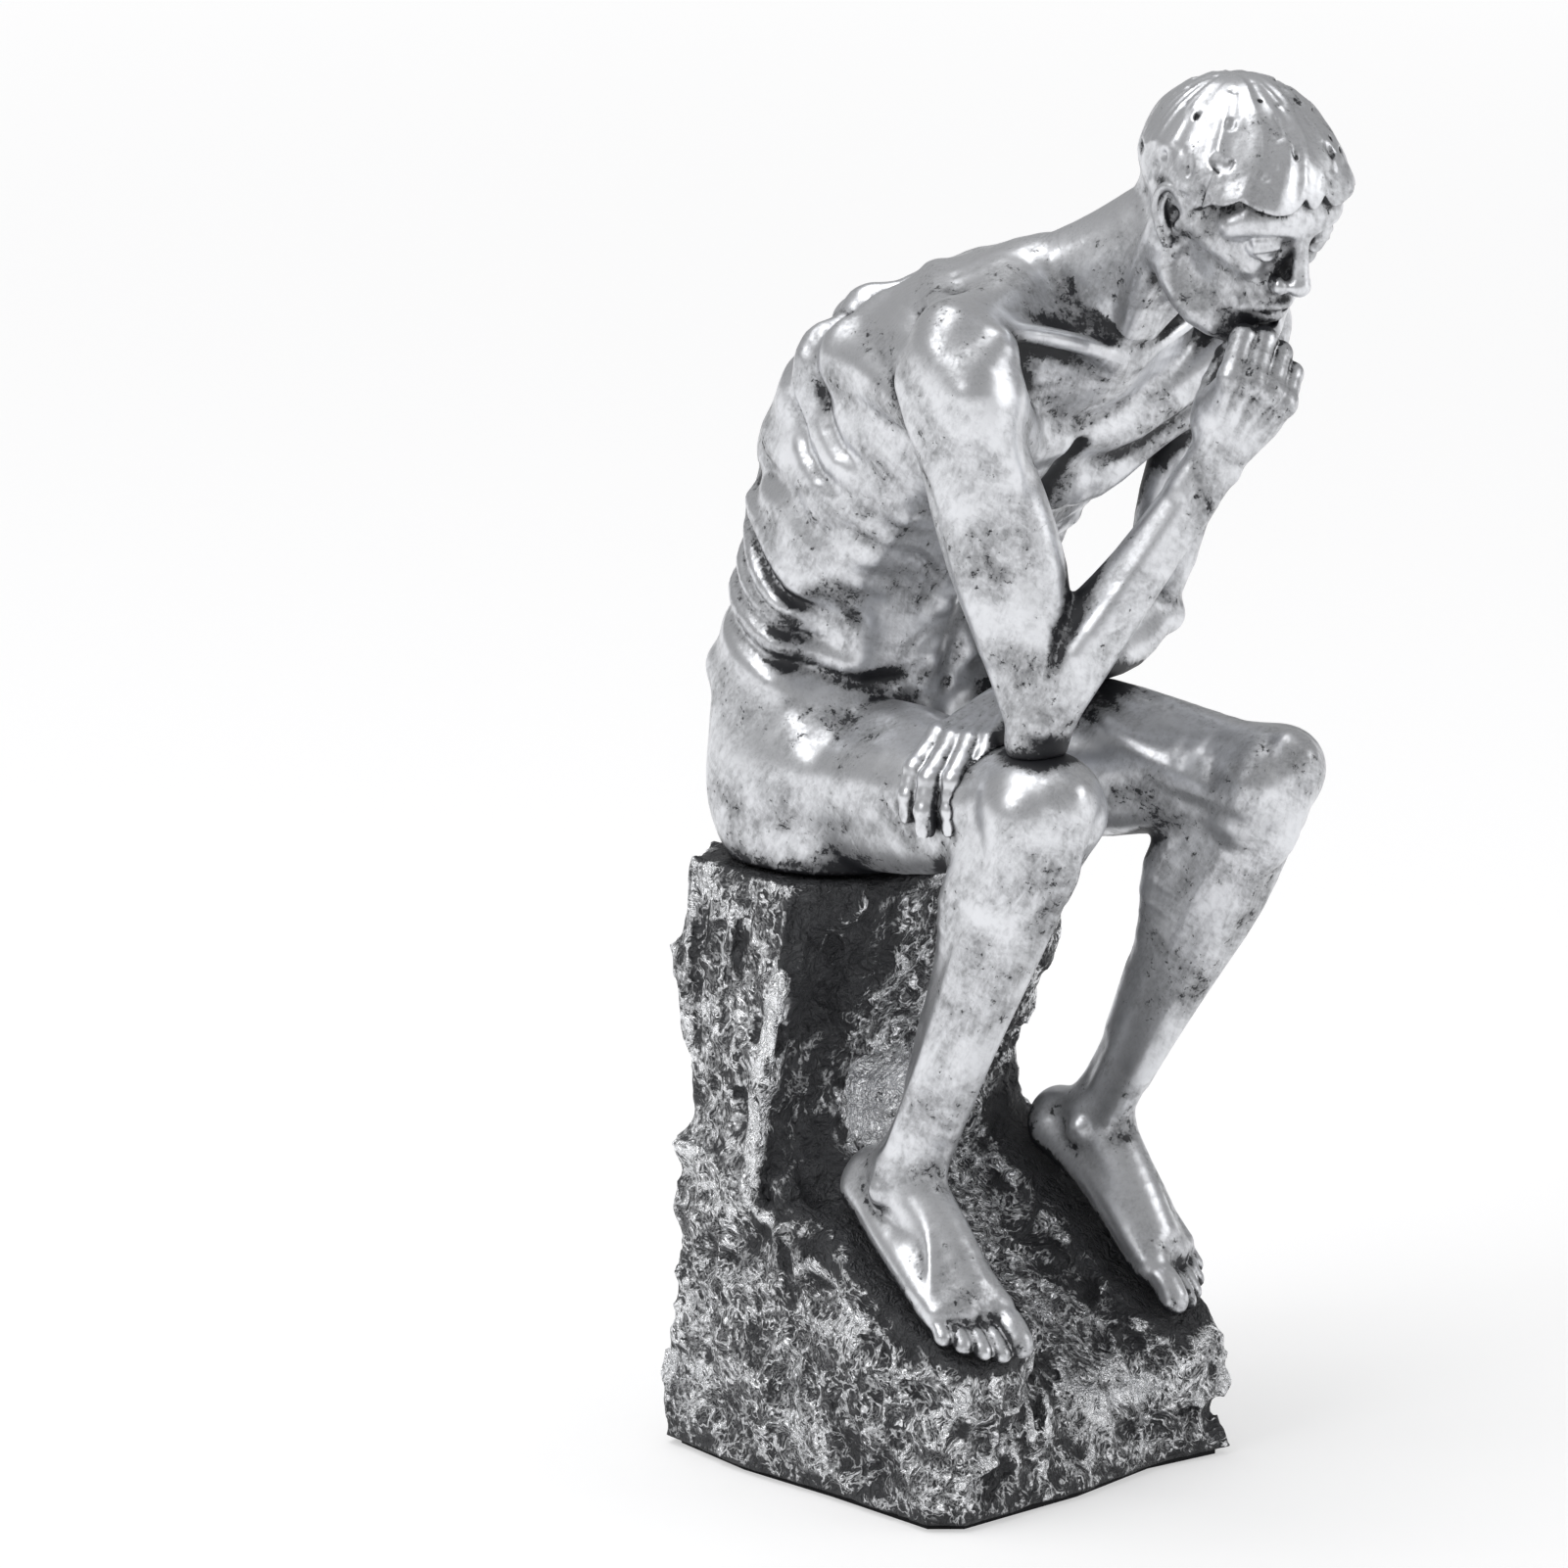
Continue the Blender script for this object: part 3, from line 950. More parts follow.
# The rock: outlines as shares of its half length and half width, each at a height in mm.
rock = {
    "halfLength": 39.0, "halfWidth": 39.0, "bottom": 1.2, "slopeHeight": 44.5, "slope": 35.0,
    "blockTop": 58.0, "columnFoot": 20.0, "stepReach": (10, 72), "soleGap": 0.3, "castingGap": 0.12,
    # the cast hollow: length, width, from and to which height, and how far ahead
    "cavity": [(66, 66, -5, 4.2, 0), (60, 60, -5, 14, 0), (14, 40, -5, 93, -23)],
    "cavityCorner": 5.0,
    "block": [
        (1.2, [(-1.0, -0.72), (-0.92, -0.94), (-0.4, -1.0), (0.2, -0.97), (0.86, -0.97),
               (0.98, -0.84), (1.0, -0.1), (0.93, 0.45), (0.99, 0.86), (0.45, 0.98), (-0.3, 1.0),
               (-0.87, 0.93), (-1.0, 0.5)]),
        (15.0, [(-0.98, -0.7), (-0.92, -0.95), (-0.4, -0.97), (0.2, -1.0), (0.84, -0.95),
                (0.95, -0.84), (0.97, -0.1), (0.86, 0.42), (0.94, 0.88), (0.42, 1.0), (-0.3, 0.97),
                (-0.86, 0.89), (-0.96, 0.48)]),
        (58.0, [(-0.97, -0.68), (-0.91, -0.94), (-0.4, -0.94), (0.2, -0.95), (0.8, -0.92),
                (0.92, -0.8), (0.9, -0.1), (0.82, 0.4), (0.92, 0.8), (0.4, 0.93), (-0.3, 0.95),
                (-0.85, 0.9), (-0.96, 0.46)]),
    ],
    "column": [
        (30.0, [(-0.98, -0.66), (-0.9, -0.93), (-0.3, -0.97), (-0.12, -0.76), (-0.14, -0.3),
                (-0.04, 0.35), (-0.08, 0.82), (-0.4, 0.96), (-0.82, 0.9), (-0.98, 0.45)]),
        (68.0, [(-0.95, -0.6), (-0.86, -0.85), (-0.34, -0.9), (-0.28, -0.64), (-0.3, -0.25),
                (-0.22, 0.3), (-0.24, 0.7), (-0.45, 0.85), (-0.8, 0.8), (-0.95, 0.4)]),
        (94.0, [(-0.99, -0.66), (-0.91, -0.9), (-0.2, -0.93), (-0.04, -0.62), (0.04, -0.28),
                (0.06, 0.3), (0.0, 0.74), (-0.4, 0.92), (-0.84, 0.86), (-1.0, 0.42)]),
        (111.0, [(-0.98, -0.6), (-0.89, -0.86), (-0.12, -0.88), (0.08, -0.6), (0.14, -0.2),
                 (0.12, 0.28), (0.04, 0.66), (-0.36, 0.84), (-0.8, 0.8), (-0.97, 0.4)]),
    ],
    "rightStep": [
        (20.0, [(-0.3, -0.97), (0.5, -0.98), (0.98, -0.86), (1.0, -0.5), (0.9, -0.3), (0.3, -0.22),
                (-0.3, -0.28)]),
        (72.0, [(-0.3, -0.9), (0.5, -0.95), (0.96, -0.84), (1.0, -0.58), (0.88, -0.38), (0.3, -0.3),
                (-0.3, -0.34)]),
    ],
    "leftLedge": [
        (20.0, [(-0.3, 0.24), (0.3, 0.3), (0.86, 0.42), (0.96, 0.66), (0.95, 0.92), (0.5, 0.99),
                (-0.3, 0.97)]),
        (72.0, [(-0.3, 0.36), (0.3, 0.42), (0.84, 0.5), (0.96, 0.7), (0.92, 0.9), (0.5, 0.97),
                (-0.3, 0.93)]),
    ],
    "inset": 0.9,
    "lumpDepth": 1.2, "lumpSize": 14.0,
    "creaseDepth": 0.95, "creaseSize": 7.5,
    "fibreDepth": 0.9, "fibreSize": 4.2, "fibreDrawnOut": 4.0,
    "grainDepth": 0.45, "grainSize": 3.1,
    "windDepth": 2.6, "windSize": 8.0,
    "wallFoot": 50.0, "wallFade": 16.0,  # where the seat's drawn-out walls begin
    # the bright crest down the near edge of the seat column and along the foot of it, girths in mm
    "crest": [(5, -34, 110.5, 0.8), (1, -35.4, 104, 0.9), (-5, -35.6, 97, 1.0),
              (-8, -35.4, 86, 1.1), (-12.8, -34.9, 72, 1.1), (-13.4, -35, 60, 1.1),
              (-12.5, -35.6, 50, 1.2), (-4, -36, 46, 1.1), (4, -36.2, 41.5, 1.1),
              (17, -36.6, 35, 1.0)],
    # the dark hollow between that crest and the near shin
    "recess": [(5, -26, 106, 2.5), (-1, -26.5, 94, 4.5), (-4, -27, 80, 5), (-5, -28, 66, 5),
               (-2, -29.5, 54, 4)],
}


def stackFar(clay, rings, bottom, top):
    # straight-sided rock: at each height the outline is blended from the two given round it, and
    # the distance is that to its nearest side, below zero inside
    x, y, z = clay.whole()
    x, y, heights = x[:, :, 0, None], y[:, :, 0, None], z[0, 0]
    levels = [ring[0] for ring in rings]
    corners = np.array([ring[1] for ring in rings]) * [rock["halfLength"], rock["halfWidth"]]
    far = np.empty(clay.far.shape, np.float32)
    for k, height in enumerate(heights):
        blend = np.interp(height, levels, np.arange(len(levels)))
        lower = min(int(blend), len(levels) - 2)
        ring = mix(corners[lower], corners[lower + 1], blend - lower)
        ahead = np.roll(ring, -1, axis=0)
        run = ahead - ring
        px, py = x - ring[:, 0], y - ring[:, 1]
        share = np.clip((px * run[:, 0] + py * run[:, 1]) / np.sum(run ** 2, axis=1), 0, 1)
        gap = np.sqrt((px - share * run[:, 0]) ** 2 + (py - share * run[:, 1]) ** 2).min(axis=2)
        crosses = ((ring[:, 1] > y) != (ahead[:, 1] > y)) & (
            x < ring[:, 0] + (y - ring[:, 1]) * run[:, 0] / np.where(run[:, 1] == 0, 1e-9,
                                                                     run[:, 1]))
        far[:, :, k] = np.where(crosses.sum(axis=2) % 2 == 1, -gap, gap)
    return np.maximum(np.maximum(far, bottom - z), z - top)


def creases(x, y, z, size, seed):
    return 1 - np.abs(2 * lumps(x, y, z, size, seed) - 1)


def boxFar(clay, length, width, low, high, ahead):
    # a box with rounded upright corners
    x, y, z = clay.whole()
    corner = rock["cavityCorner"]
    dx, dy = np.abs(x - ahead) - length / 2 + corner, np.abs(y) - width / 2 + corner
    outside = np.sqrt(np.maximum(dx, 0) ** 2 + np.maximum(dy, 0) ** 2)
    flat = outside + np.minimum(np.maximum(dx, dy), 0) - corner
    return np.maximum(np.maximum(flat, low - z), z - high).astype(np.float32)


def shapeRock(clay, touching):
    x, y, z = clay.whole()
    slopeUp = turned(upward, forward, rock["slope"])
    block = stackFar(clay, rock["block"], rock["bottom"], rock["blockTop"])
    block = softMax(block,
                    (x * slopeUp[0] + (z - rock["slopeHeight"]) * slopeUp[2]).astype(np.float32), 3)
    column = stackFar(clay, rock["column"], rock["columnFoot"], pose["seatHeight"])
    clay.far = softMin(block, column, 2.5)
    for rings, side, ankle, pitch in (("rightStep", -1, "rightAnkle", "rightFootPitch"),
                                      ("leftLedge", 1, "leftAnkle", "leftFootPitch")):
        sole, _, _, normal = footFrame(pose[ankle], pose[pitch], leftward * side)
        step = stackFar(clay, rock[rings], *rock["stepReach"])
        step = softMax(step,
                       (pastPlane(x, y, z, sole, normal) + rock["soleGap"]).astype(np.float32), 1.5)
        clay.far = softMin(clay.far, step, 2.5)
    clay.add(strand([p[:3] for p in rock["crest"]], [p[3] for p in rock["crest"]]), 3)
    clay.cut(strand([p[:3] for p in rock["recess"]], [p[3] for p in rock["recess"]]), 3)
    near = sampled(touching, clay)
    calm = np.clip((near - 0.5) / 6, 0.15, 1)
    # the places are bent to and fro first, so that the creases wind
    wx, wy, wz = [line + rock["windDepth"] * lumps(x, y, z, rock["windSize"], seed)
                  for line, seed in ((x, 21), (y, 22), (z, 23))]
    wall = np.clip((z - rock["wallFoot"]) / rock["wallFade"], 0, 1)
    bumps = rock["lumpDepth"] * (2 * lumps(wx, wy, wz, rock["lumpSize"], 24) - 1)
    creased = 2 * creases(wx, wy, wz, rock["creaseSize"], 25) ** 2 - 1
    bumps = bumps + rock["creaseDepth"] * (1 - 0.6 * wall) * creased
    fibres = creases(wx, wy, wz / rock["fibreDrawnOut"], rock["fibreSize"], 26)
    bumps = bumps + rock["fibreDepth"] * wall * (2 * fibres ** 2 - 1)
    grain = creases(wx, wy, wz / (1 + 1.5 * wall), rock["grainSize"], 27)
    bumps = bumps + rock["grainDepth"] * (2 * grain ** 2 - 1)
    calm = calm * np.clip((z - 1) / 7, 0.2, 1)
    inset = rock["inset"] * np.clip((z - 1) / 7, 0.1, 1)
    clay.far = clay.far + inset - (bumps * calm).astype(np.float32)
    clay.far = np.maximum(clay.far, rock["bottom"] - z)
    clay.far = np.maximum(clay.far, z - pose["seatHeight"])
    clay.far = np.maximum(clay.far, np.abs(x) - rock["halfLength"] + 0.15)
    clay.far = np.maximum(clay.far, rock["castingGap"] - near)
    for box in rock["cavity"]:
        clay.far = np.maximum(clay.far, -boxFar(clay, *box))


def sampled(other, clay):
    # another block's distances, read at this block's grid, and farAway outside the other block
    first = np.maximum(np.ceil((other.low - clay.low) / clay.cell).astype(int), 0)
    last = np.minimum(((other.low + (other.size - 1) * other.cell - clay.low)
                       / clay.cell).astype(int) + 1, clay.size)
    total = np.full(clay.size, farAway, np.float32)
    if np.any(last - first < 1):
        return total
    part = other.far
    for axis in range(3):
        at = (clay.low[axis] + clay.cell * np.arange(first[axis], last[axis])
              - other.low[axis]) / other.cell
        at = np.clip(at, 0, other.size[axis] - 1.001)
        base = at.astype(int)
        share = (at - base).astype(np.float32)
        shape = [1, 1, 1]
        shape[axis] = -1
        share = share.reshape(shape)
        part = np.take(part, base, axis) * (1 - share) + np.take(part, base + 1, axis) * share
    total[tuple(slice(a, b) for a, b in zip(first, last))] = part
    return total


def joinSoft(a, b, k):
    # softMin with a width that varies from point to point
    k = np.maximum(k, 1e-3)
    h = np.clip(0.5 + 0.5 * (a - b) / k, 0, 1)
    return a + (b - a) * h - k * h * (1 - h)


def planeFar(clay, point, normal):
    return pastPlane(*clay.whole(), point, normal).astype(np.float32)


fistPointing = turned(upward, forward, 37)
fistPalm = unit(-forward + leftward * 0.75)
drapePointing = unit(-leftward + forward * 0.2 - upward * 0.28)
grips = {
    # bend of each finger's bones in degrees, how fingers fan, and where the thumb heads
    "right": {"bends": [(60, 85, 55), (66, 86, 55), (70, 86, 56), (72, 88, 58)],
              "spreads": [0.05, 0.02, -0.02, -0.06],
              "thumbWay": (0.85, 0.35, 0.6), "thumbBends": (8, 18, 25)},
    "left": {"bends": [(20, 34, 24), (23, 34, 24), (26, 35, 24), (30, 36, 26)],
             "spreads": [0.1, 0.03, -0.04, -0.1],
             "thumbWay": (0.8, 0.7, 0.1), "thumbBends": (5, 10, 15)},
}
limbs = {
    "right_arm": {"low": (24, -58, 136), "high": (100, 24, 236), "cell": 0.42},
    "left_arm": {"low": (-8, -52, 126), "high": (52, 60, 236), "cell": 0.42},
    "right_leg": {"low": (-12, -48, 22), "high": (70, -4, 156), "cell": 0.5},
    "left_leg": {"low": (-12, 4, 14), "high": (74, 58, 156), "cell": 0.5},
    "torso": {"low": (-46, -58, 109), "high": (66, 58, 242), "cell": 0.715},
    "head": {"low": (30, -16, 204), "high": (94, 24, 266), "cell": 0.32},
    "rock_shell": {"low": (-43, -44, -1), "high": (44, 44, 114), "cell": 0.8},
}


sides = {"right": -leftward, "left": leftward}


def upperArm(clay, side):
    shapeUpperArm(clay, pose[side + "Shoulder"], pose[side + "Elbow"], pose[side + "Wrist"],
                  sides[side])


# elbow's tip, and the flesh it presses on
elbowRest = (vec(44.6, -22.8, 143.6), vec(44.5, -22.6, 136.4))


def lowerArm(clay, side):
    pointing, palm = (fistPointing, fistPalm) if side == "right" else (drapePointing, -upward)
    palm = square(pointing, palm)
    thumbward = np.cross(pointing, palm) if side == "right" else np.cross(palm, pointing)
    wrist = pose[side + "Wrist"]
    shapeForearm(clay, pose[side + "Shoulder"], pose[side + "Elbow"], wrist, sides[side], palm,
                 thumbward)
    shapeHand(clay, wrist, pointing, palm, thumbward, **grips[side])
    if side == "right":
        clay.add(egg(elbowRest[0], (5.2, 5.2, 4.4)), 4)


def upperLeg(clay, side):
    shapeThigh(clay, pose[side + "Hip"], pose[side + "Knee"], sides[side])


def lowerLeg(clay, side):
    shapeShin(clay, pose[side + "Hip"], pose[side + "Knee"], pose[side + "Ankle"], sides[side],
              pose[side + "FootPitch"])
    if side == "right":
        clay.add(egg(elbowRest[1], (10, 8.5, 6.0)), 5)


lap = 0.8  # mm that two castings reach into each other at a joint
fitGap = 0.02
boxGap, boxSoftness = 0.1, 1.5
# where castings touch, the upper one is hollowed to fit the lower ones
touchingRock = ("torso", "right_leg", "left_leg")
touched = {
    "right_arm": ("right_leg", "head", "torso"),
    "left_arm": ("right_leg", "left_leg", "torso", "right_arm"),
    "head": ("torso",), "right_leg": ("torso",), "left_leg": ("torso",),
}


def joint(start, end, share):
    return mix(start, end, share), unit(end - start)


joints = {
    "right_arm": joint(pose["rightShoulder"], pose["rightElbow"], pose["armJoint"]),
    "left_arm": joint(pose["leftShoulder"], pose["leftElbow"], pose["armJoint"]),
    "right_leg": joint(pose["rightHip"], pose["rightKnee"], pose["thighJoint"]),
    "left_leg": joint(pose["leftHip"], pose["leftKnee"], pose["thighJoint"]),
    "head": joint(pose["neckBase"], nape, pose["neckJoint"]),
}


def block(name):
    info = limbs[name]
    return Clay(info["low"], info["high"], info["cell"] * fine)


def stump(torso, shape, name, soften, fade):
    # the limb's own shape, drawn in the torso's block up to the joint; the fillet where it leaves
    # the trunk dies away towards the joint, so that both sides of the seam match
    limb = torso.empty()
    shape(limb)
    point, along = joints[name]
    away = planeFar(torso, point, along)
    limb.far = np.maximum(limb.far, away - lap)
    torso.far = joinSoft(torso.far, limb.far, soften * np.clip(-away / fade, 0, 1))


def withinBox(clay):
    # shaves off, with a soft edge, whatever would reach past the CAD model's box
    x, y, z = clay.whole()
    low, high = np.array(cadBox[0]) / mm + boxGap, np.array(cadBox[1]) / mm - boxGap
    for past in (low[0] - x, x - high[0], low[1] - y, y - high[1], z - high[2]):
        clay.far = softMax(clay.far, past.astype(np.float32), boxSoftness)


def buildClays():
    clays = {}
    for name, upper, lower in (("right_leg", upperLeg, lowerLeg), ("left_leg", upperLeg, lowerLeg),
                               ("right_arm", upperArm, lowerArm), ("left_arm", upperArm, lowerArm),
                               ("head", None, None)):
        side = name.split("_")[0]
        clays[name] = block(name)
        if name == "head":
            shapeHead(clays[name])
        else:
            upper(clays[name], side)
        # each casting begins at its joint; what lies beyond knee or elbow is added after the cut
        clays[name].far = np.maximum(clays[name].far, -lap - planeFar(clays[name], *joints[name]))
        if lower:
            lower(clays[name], side)
        withinBox(clays[name])
        print("modelled", name)
    torso = block("torso")
    shapeTrunk(torso)
    stump(torso, shapeNeck, "head", 5, 6)
    for side in sides:
        stump(torso, lambda limb: upperArm(limb, side), side + "_arm", 6, 12)
        stump(torso, lambda limb: upperLeg(limb, side), side + "_leg", 7, 12)
    withinBox(torso)
    torso.far = np.maximum(torso.far, pose["seatHeight"] - torso.whole()[2])
    clays["torso"] = torso
    print("modelled torso")
    for name, others in touched.items():
        for other in others:
            fitted = fitGap - sampled(clays[other], clays[name])
            if other == "torso":
                fitted = np.where(planeFar(clays[name], *joints[name]) < 4 * lap, -farAway, fitted)
            clays[name].far = np.maximum(clays[name].far, fitted)
    rockBlock = block("rock_shell")
    touching = rockBlock.empty()
    for name in touchingRock:
        touching.far = np.minimum(touching.far, sampled(clays[name], rockBlock))
    shapeRock(rockBlock, touching)
    clays["rock_shell"] = rockBlock
    print("modelled rock_shell")
    return clays


def largestPart(places, faces):
    # every corner takes the lowest number among its neighbours, again and again, until each
    # separate lump has one number; the lump with the most corners is kept
    number = np.arange(len(places))
    ends = np.vstack([faces[:, [0, 1]], faces[:, [1, 2]], faces[:, [2, 3]]])
    while True:
        before = number.copy()
        low = np.minimum(number[ends[:, 0]], number[ends[:, 1]])
        np.minimum.at(number, ends[:, 0], low)
        np.minimum.at(number, ends[:, 1], low)
        number = number[number]
        if np.array_equal(before, number):
            break
    counts = np.bincount(number)
    kept = number == np.argmax(counts)
    renumber = np.cumsum(kept) - 1
    return places[kept], renumber[faces[kept[faces[:, 0]]]]


def meshOf(name, places, faces, marks):
    mesh = bpy.data.meshes.new(name)
    mesh.vertices.add(len(places))
    mesh.vertices.foreach_set("co", (places * mm).astype(np.float32).ravel())
    mesh.loops.add(4 * len(faces))
    mesh.loops.foreach_set("vertex_index", faces.astype(np.int32).ravel())
    mesh.polygons.add(len(faces))
    mesh.polygons.foreach_set("loop_start", np.arange(0, 4 * len(faces), 4, dtype=np.int32))
    mesh.polygons.foreach_set("use_smooth", np.ones(len(faces), bool))
    mesh.update(calc_edges=True)
    for mark, values in marks.items():
        layer = mesh.attributes.new(mark, "FLOAT", "POINT")
        layer.data.foreach_set("value", np.clip(values, 0, 1).astype(np.float32))
    piece = bpy.data.objects.new(name, mesh)
    bpy.context.scene.collection.objects.link(piece)
    return piece


def nearRun(places, name):
    # mm from each place to the nearest of many points along one of the rock's lines
    run = smoothRun([p[:3] for p in rock[name]], [p[3] for p in rock[name]], 12)[:, :3]
    gap = np.full(len(places), 99.0)
    for point in run:
        gap = np.minimum(gap, np.sqrt(np.sum((places - point) ** 2, axis=1)))
    return gap


def hairShare(places):
    # 1 above the edge of the hair and 0 on the face and neck
    offset = places - pose["head"]
    turns = np.degrees(np.abs(np.arctan2(offset[:, 1], offset @ faceAhead + 2)))
    edge = np.interp(turns, [e[0] for e in face["hairEdge"]], [e[1] for e in face["hairEdge"]])
    return np.clip((offset @ faceUp - edge + 1) / 2, 0, 1)


wideBlock = {"low": (-46, -60, -2), "high": (96, 60, 268), "cell": 1.6}


def wideClay(clays):
    # one coarse block that holds every piece, for the broad shading between them
    wide = Clay(wideBlock["low"], wideBlock["high"], wideBlock["cell"] * fine)
    for clay in clays.values():
        wide.far = np.minimum(wide.far, sampled(clay, wide))
    return wide


# Materials
finish = {"patina": (0.018, 0.019, 0.023), "patinaRoughness": 0.5, "metallic": 0.97}


def newGroup(name, ins, outs):
    group = bpy.data.node_groups.new(name, "ShaderNodeTree")
    for label, value in ins.items():
        socket = group.interface.new_socket(label, in_out="INPUT", socket_type="NodeSocketFloat")
        socket.default_value = value
    for label in outs:
        group.interface.new_socket(label, in_out="OUTPUT", socket_type="NodeSocketFloat")
    return group, group.nodes.new("NodeGroupInput"), group.nodes.new("NodeGroupOutput")


def link(tree, a, b):
    tree.links.new(a, b)


def maths(tree, how, a, b=None, c=None):
    node = tree.nodes.new("ShaderNodeMath")
    node.operation = how
    for slot, value in zip(node.inputs, (a, b, c)):
        if isinstance(value, (int, float)):
            slot.default_value = value
        elif value is not None:
            link(tree, value, slot)
    return node.outputs[0]


def remap(tree, value, low, high, toLow=0.0, toHigh=1.0):
    node = tree.nodes.new("ShaderNodeMapRange")
    node.interpolation_type = "SMOOTHSTEP"
    link(tree, value, node.inputs[0])
    for slot, number in zip(list(node.inputs)[1:5], (low, high, toLow, toHigh)):
        slot.default_value = number
    return node.outputs[0]


def times(tree, value, amount):
    return maths(tree, "MULTIPLY", value, amount)


def plus(tree, *values):
    total = values[0]
    for value in values[1:]:
        total = maths(tree, "ADD", total, value)
    return total


def lessFromOne(tree, value):
    return maths(tree, "SUBTRACT", 1.0, value)


def swing(tree, noise, amount):
    # how far a noise goes to either side of its middle
    return times(tree, maths(tree, "SUBTRACT", noise, 0.5), amount)


def mapped(tree, where, kind, scale, turn):
    # as POINT the places are scaled and then turned, as TEXTURE turned back and then divided
    node = tree.nodes.new("ShaderNodeMapping")
    node.vector_type = kind
    node.inputs["Scale"].default_value = scale
    node.inputs["Rotation"].default_value = turn
    link(tree, where, node.inputs["Vector"])
    return node.outputs[0]


def objectPlaces(tree):
    return tree.nodes.new("ShaderNodeTexCoord").outputs["Object"]


def noiseNode(tree, where, scale, detail, rough, distortion=0.0):
    node = tree.nodes.new("ShaderNodeTexNoise")
    node.inputs["Scale"].default_value = scale
    node.inputs["Detail"].default_value = detail
    node.inputs["Roughness"].default_value = rough
    node.inputs["Distortion"].default_value = distortion
    link(tree, where, node.inputs["Vector"])
    return node.outputs[0]


brushed = {
    # noises: scale, detail, roughness and distortion
    "clouds": (70, 4, 0.6, 0.8), "flakes": (520, 5, 0.72, 0.4), "grain": (1700, 2, 0.6),
    # strokes: times drawn out, the turn of their axis, and their noise
    "strokes": [(4.2, (0.35, 0.6, 0.2), (1000, 4, 0.65, 0.5)),
                (3.4, (1.0, -0.5, 0.5), (900, 4, 0.65, 0.6))],
    "cloudSwing": 1.1, "flakeSwing": 1.5, "grainSwing": 0.5,
    "strokeInTone": 2.4, "strokeInSpecks": 0.8, "thinInSpecks": 0.55,
    "toneLimits": (0.25, 1.0), "bareLimits": (0.4, 0.52),
    "flakeHeight": 0.4, "strokeHeight": 0.6,
}


def makeBrushed():
    # silver brushed dry over dark resin: Thin is how little silver lies there. Clouds and short
    # strokes shift it, which gives a soft tone; where fine noise passes a limit that falls with it,
    # the resin shows
    ins = {"Thin": 0.2, "Strokes": 0.5, "Specks": 0.5, "Tone": 0.8}
    group, start, end = newGroup("brushedSilver", ins, ["Silver", "Height"])
    where = objectPlaces(group)
    clouds, flakes, grain = [noiseNode(group, where, *brushed[name])
                             for name in ("clouds", "flakes", "grain")]
    strokes = [noiseNode(group, mapped(group, where, "TEXTURE", (1, 1, drawnOut), turn), *noise)
               for drawnOut, turn, noise in brushed["strokes"]]
    stroke = times(group, plus(group, *strokes), 0.5)
    thin = plus(group, start.outputs["Thin"], swing(group, clouds, brushed["cloudSwing"]))
    shift = swing(group, stroke, start.outputs["Strokes"])
    tone = remap(group, plus(group, thin, times(group, shift, brushed["strokeInTone"])),
                 *brushed["toneLimits"])
    speck = plus(group, swing(group, flakes, brushed["flakeSwing"]),
                 swing(group, grain, brushed["grainSwing"]))
    speck = plus(group, times(group, speck, start.outputs["Specks"]),
                 times(group, shift, brushed["strokeInSpecks"]))
    bare = remap(group, maths(group, "MULTIPLY_ADD", thin, brushed["thinInSpecks"], speck),
                 *brushed["bareLimits"])
    left = lessFromOne(group, times(group, tone, start.outputs["Tone"]))
    link(group, times(group, left, lessFromOne(group, bare)), end.inputs["Silver"])
    link(group, plus(group, times(group, flakes, brushed["flakeHeight"]),
                     times(group, stroke, brushed["strokeHeight"])),
         end.inputs["Height"])
    return group


def wavering(tree, where, scale, amount):
    # moves the places to and fro, so that straight lines drawn on them wind
    noise = tree.nodes.new("ShaderNodeTexNoise")
    noise.inputs["Scale"].default_value = scale
    noise.inputs["Detail"].default_value = 3
    link(tree, where, noise.inputs["Vector"])
    moved = tree.nodes.new("ShaderNodeVectorMath")
    moved.operation = "MULTIPLY_ADD"
    link(tree, noise.outputs["Color"], moved.inputs[0])
    moved.inputs[1].default_value = (amount, amount, amount)
    link(tree, where, moved.inputs[2])
    return moved.outputs[0]


def cellWalls(tree, where, scale):
    # distance from the walls between random cells, 0 on the wall
    node = tree.nodes.new("ShaderNodeTexVoronoi")
    node.feature = "DISTANCE_TO_EDGE"
    node.inputs["Scale"].default_value = scale
    link(tree, where, node.inputs["Vector"])
    return node.outputs["Distance"]


crumpled = {
    "windings": [(130, 0.01), (420, 0.0045)],  # scale, and metres to and fro
    # how each set of cells lies: on the block as they come, on the seat's walls drawn out upwards
    "lies": [((1, 1, 1), (0.4, 0.2, 0.1)), ((1, 1, 0.34), (0.05, -0.04, 0.2))],
    # large, middle and small cells: scale, limits of the bright wall, weight of the height
    "cells": [(250, (0.02, 0.15), 1.0), (520, (0.03, 0.19), 0.6), (1050, (0.04, 0.26), 0.3)],
    "smallShare": 0.55,
    # noises that break up the walls: scale, detail, roughness, then the limits and the least left
    "largeBreaks": ((210, 3, 0.6), (0.34, 0.56, 0.25, 1.0)),
    "middleBreaks": ((330, 3, 0.6), (0.4, 0.6)),
}


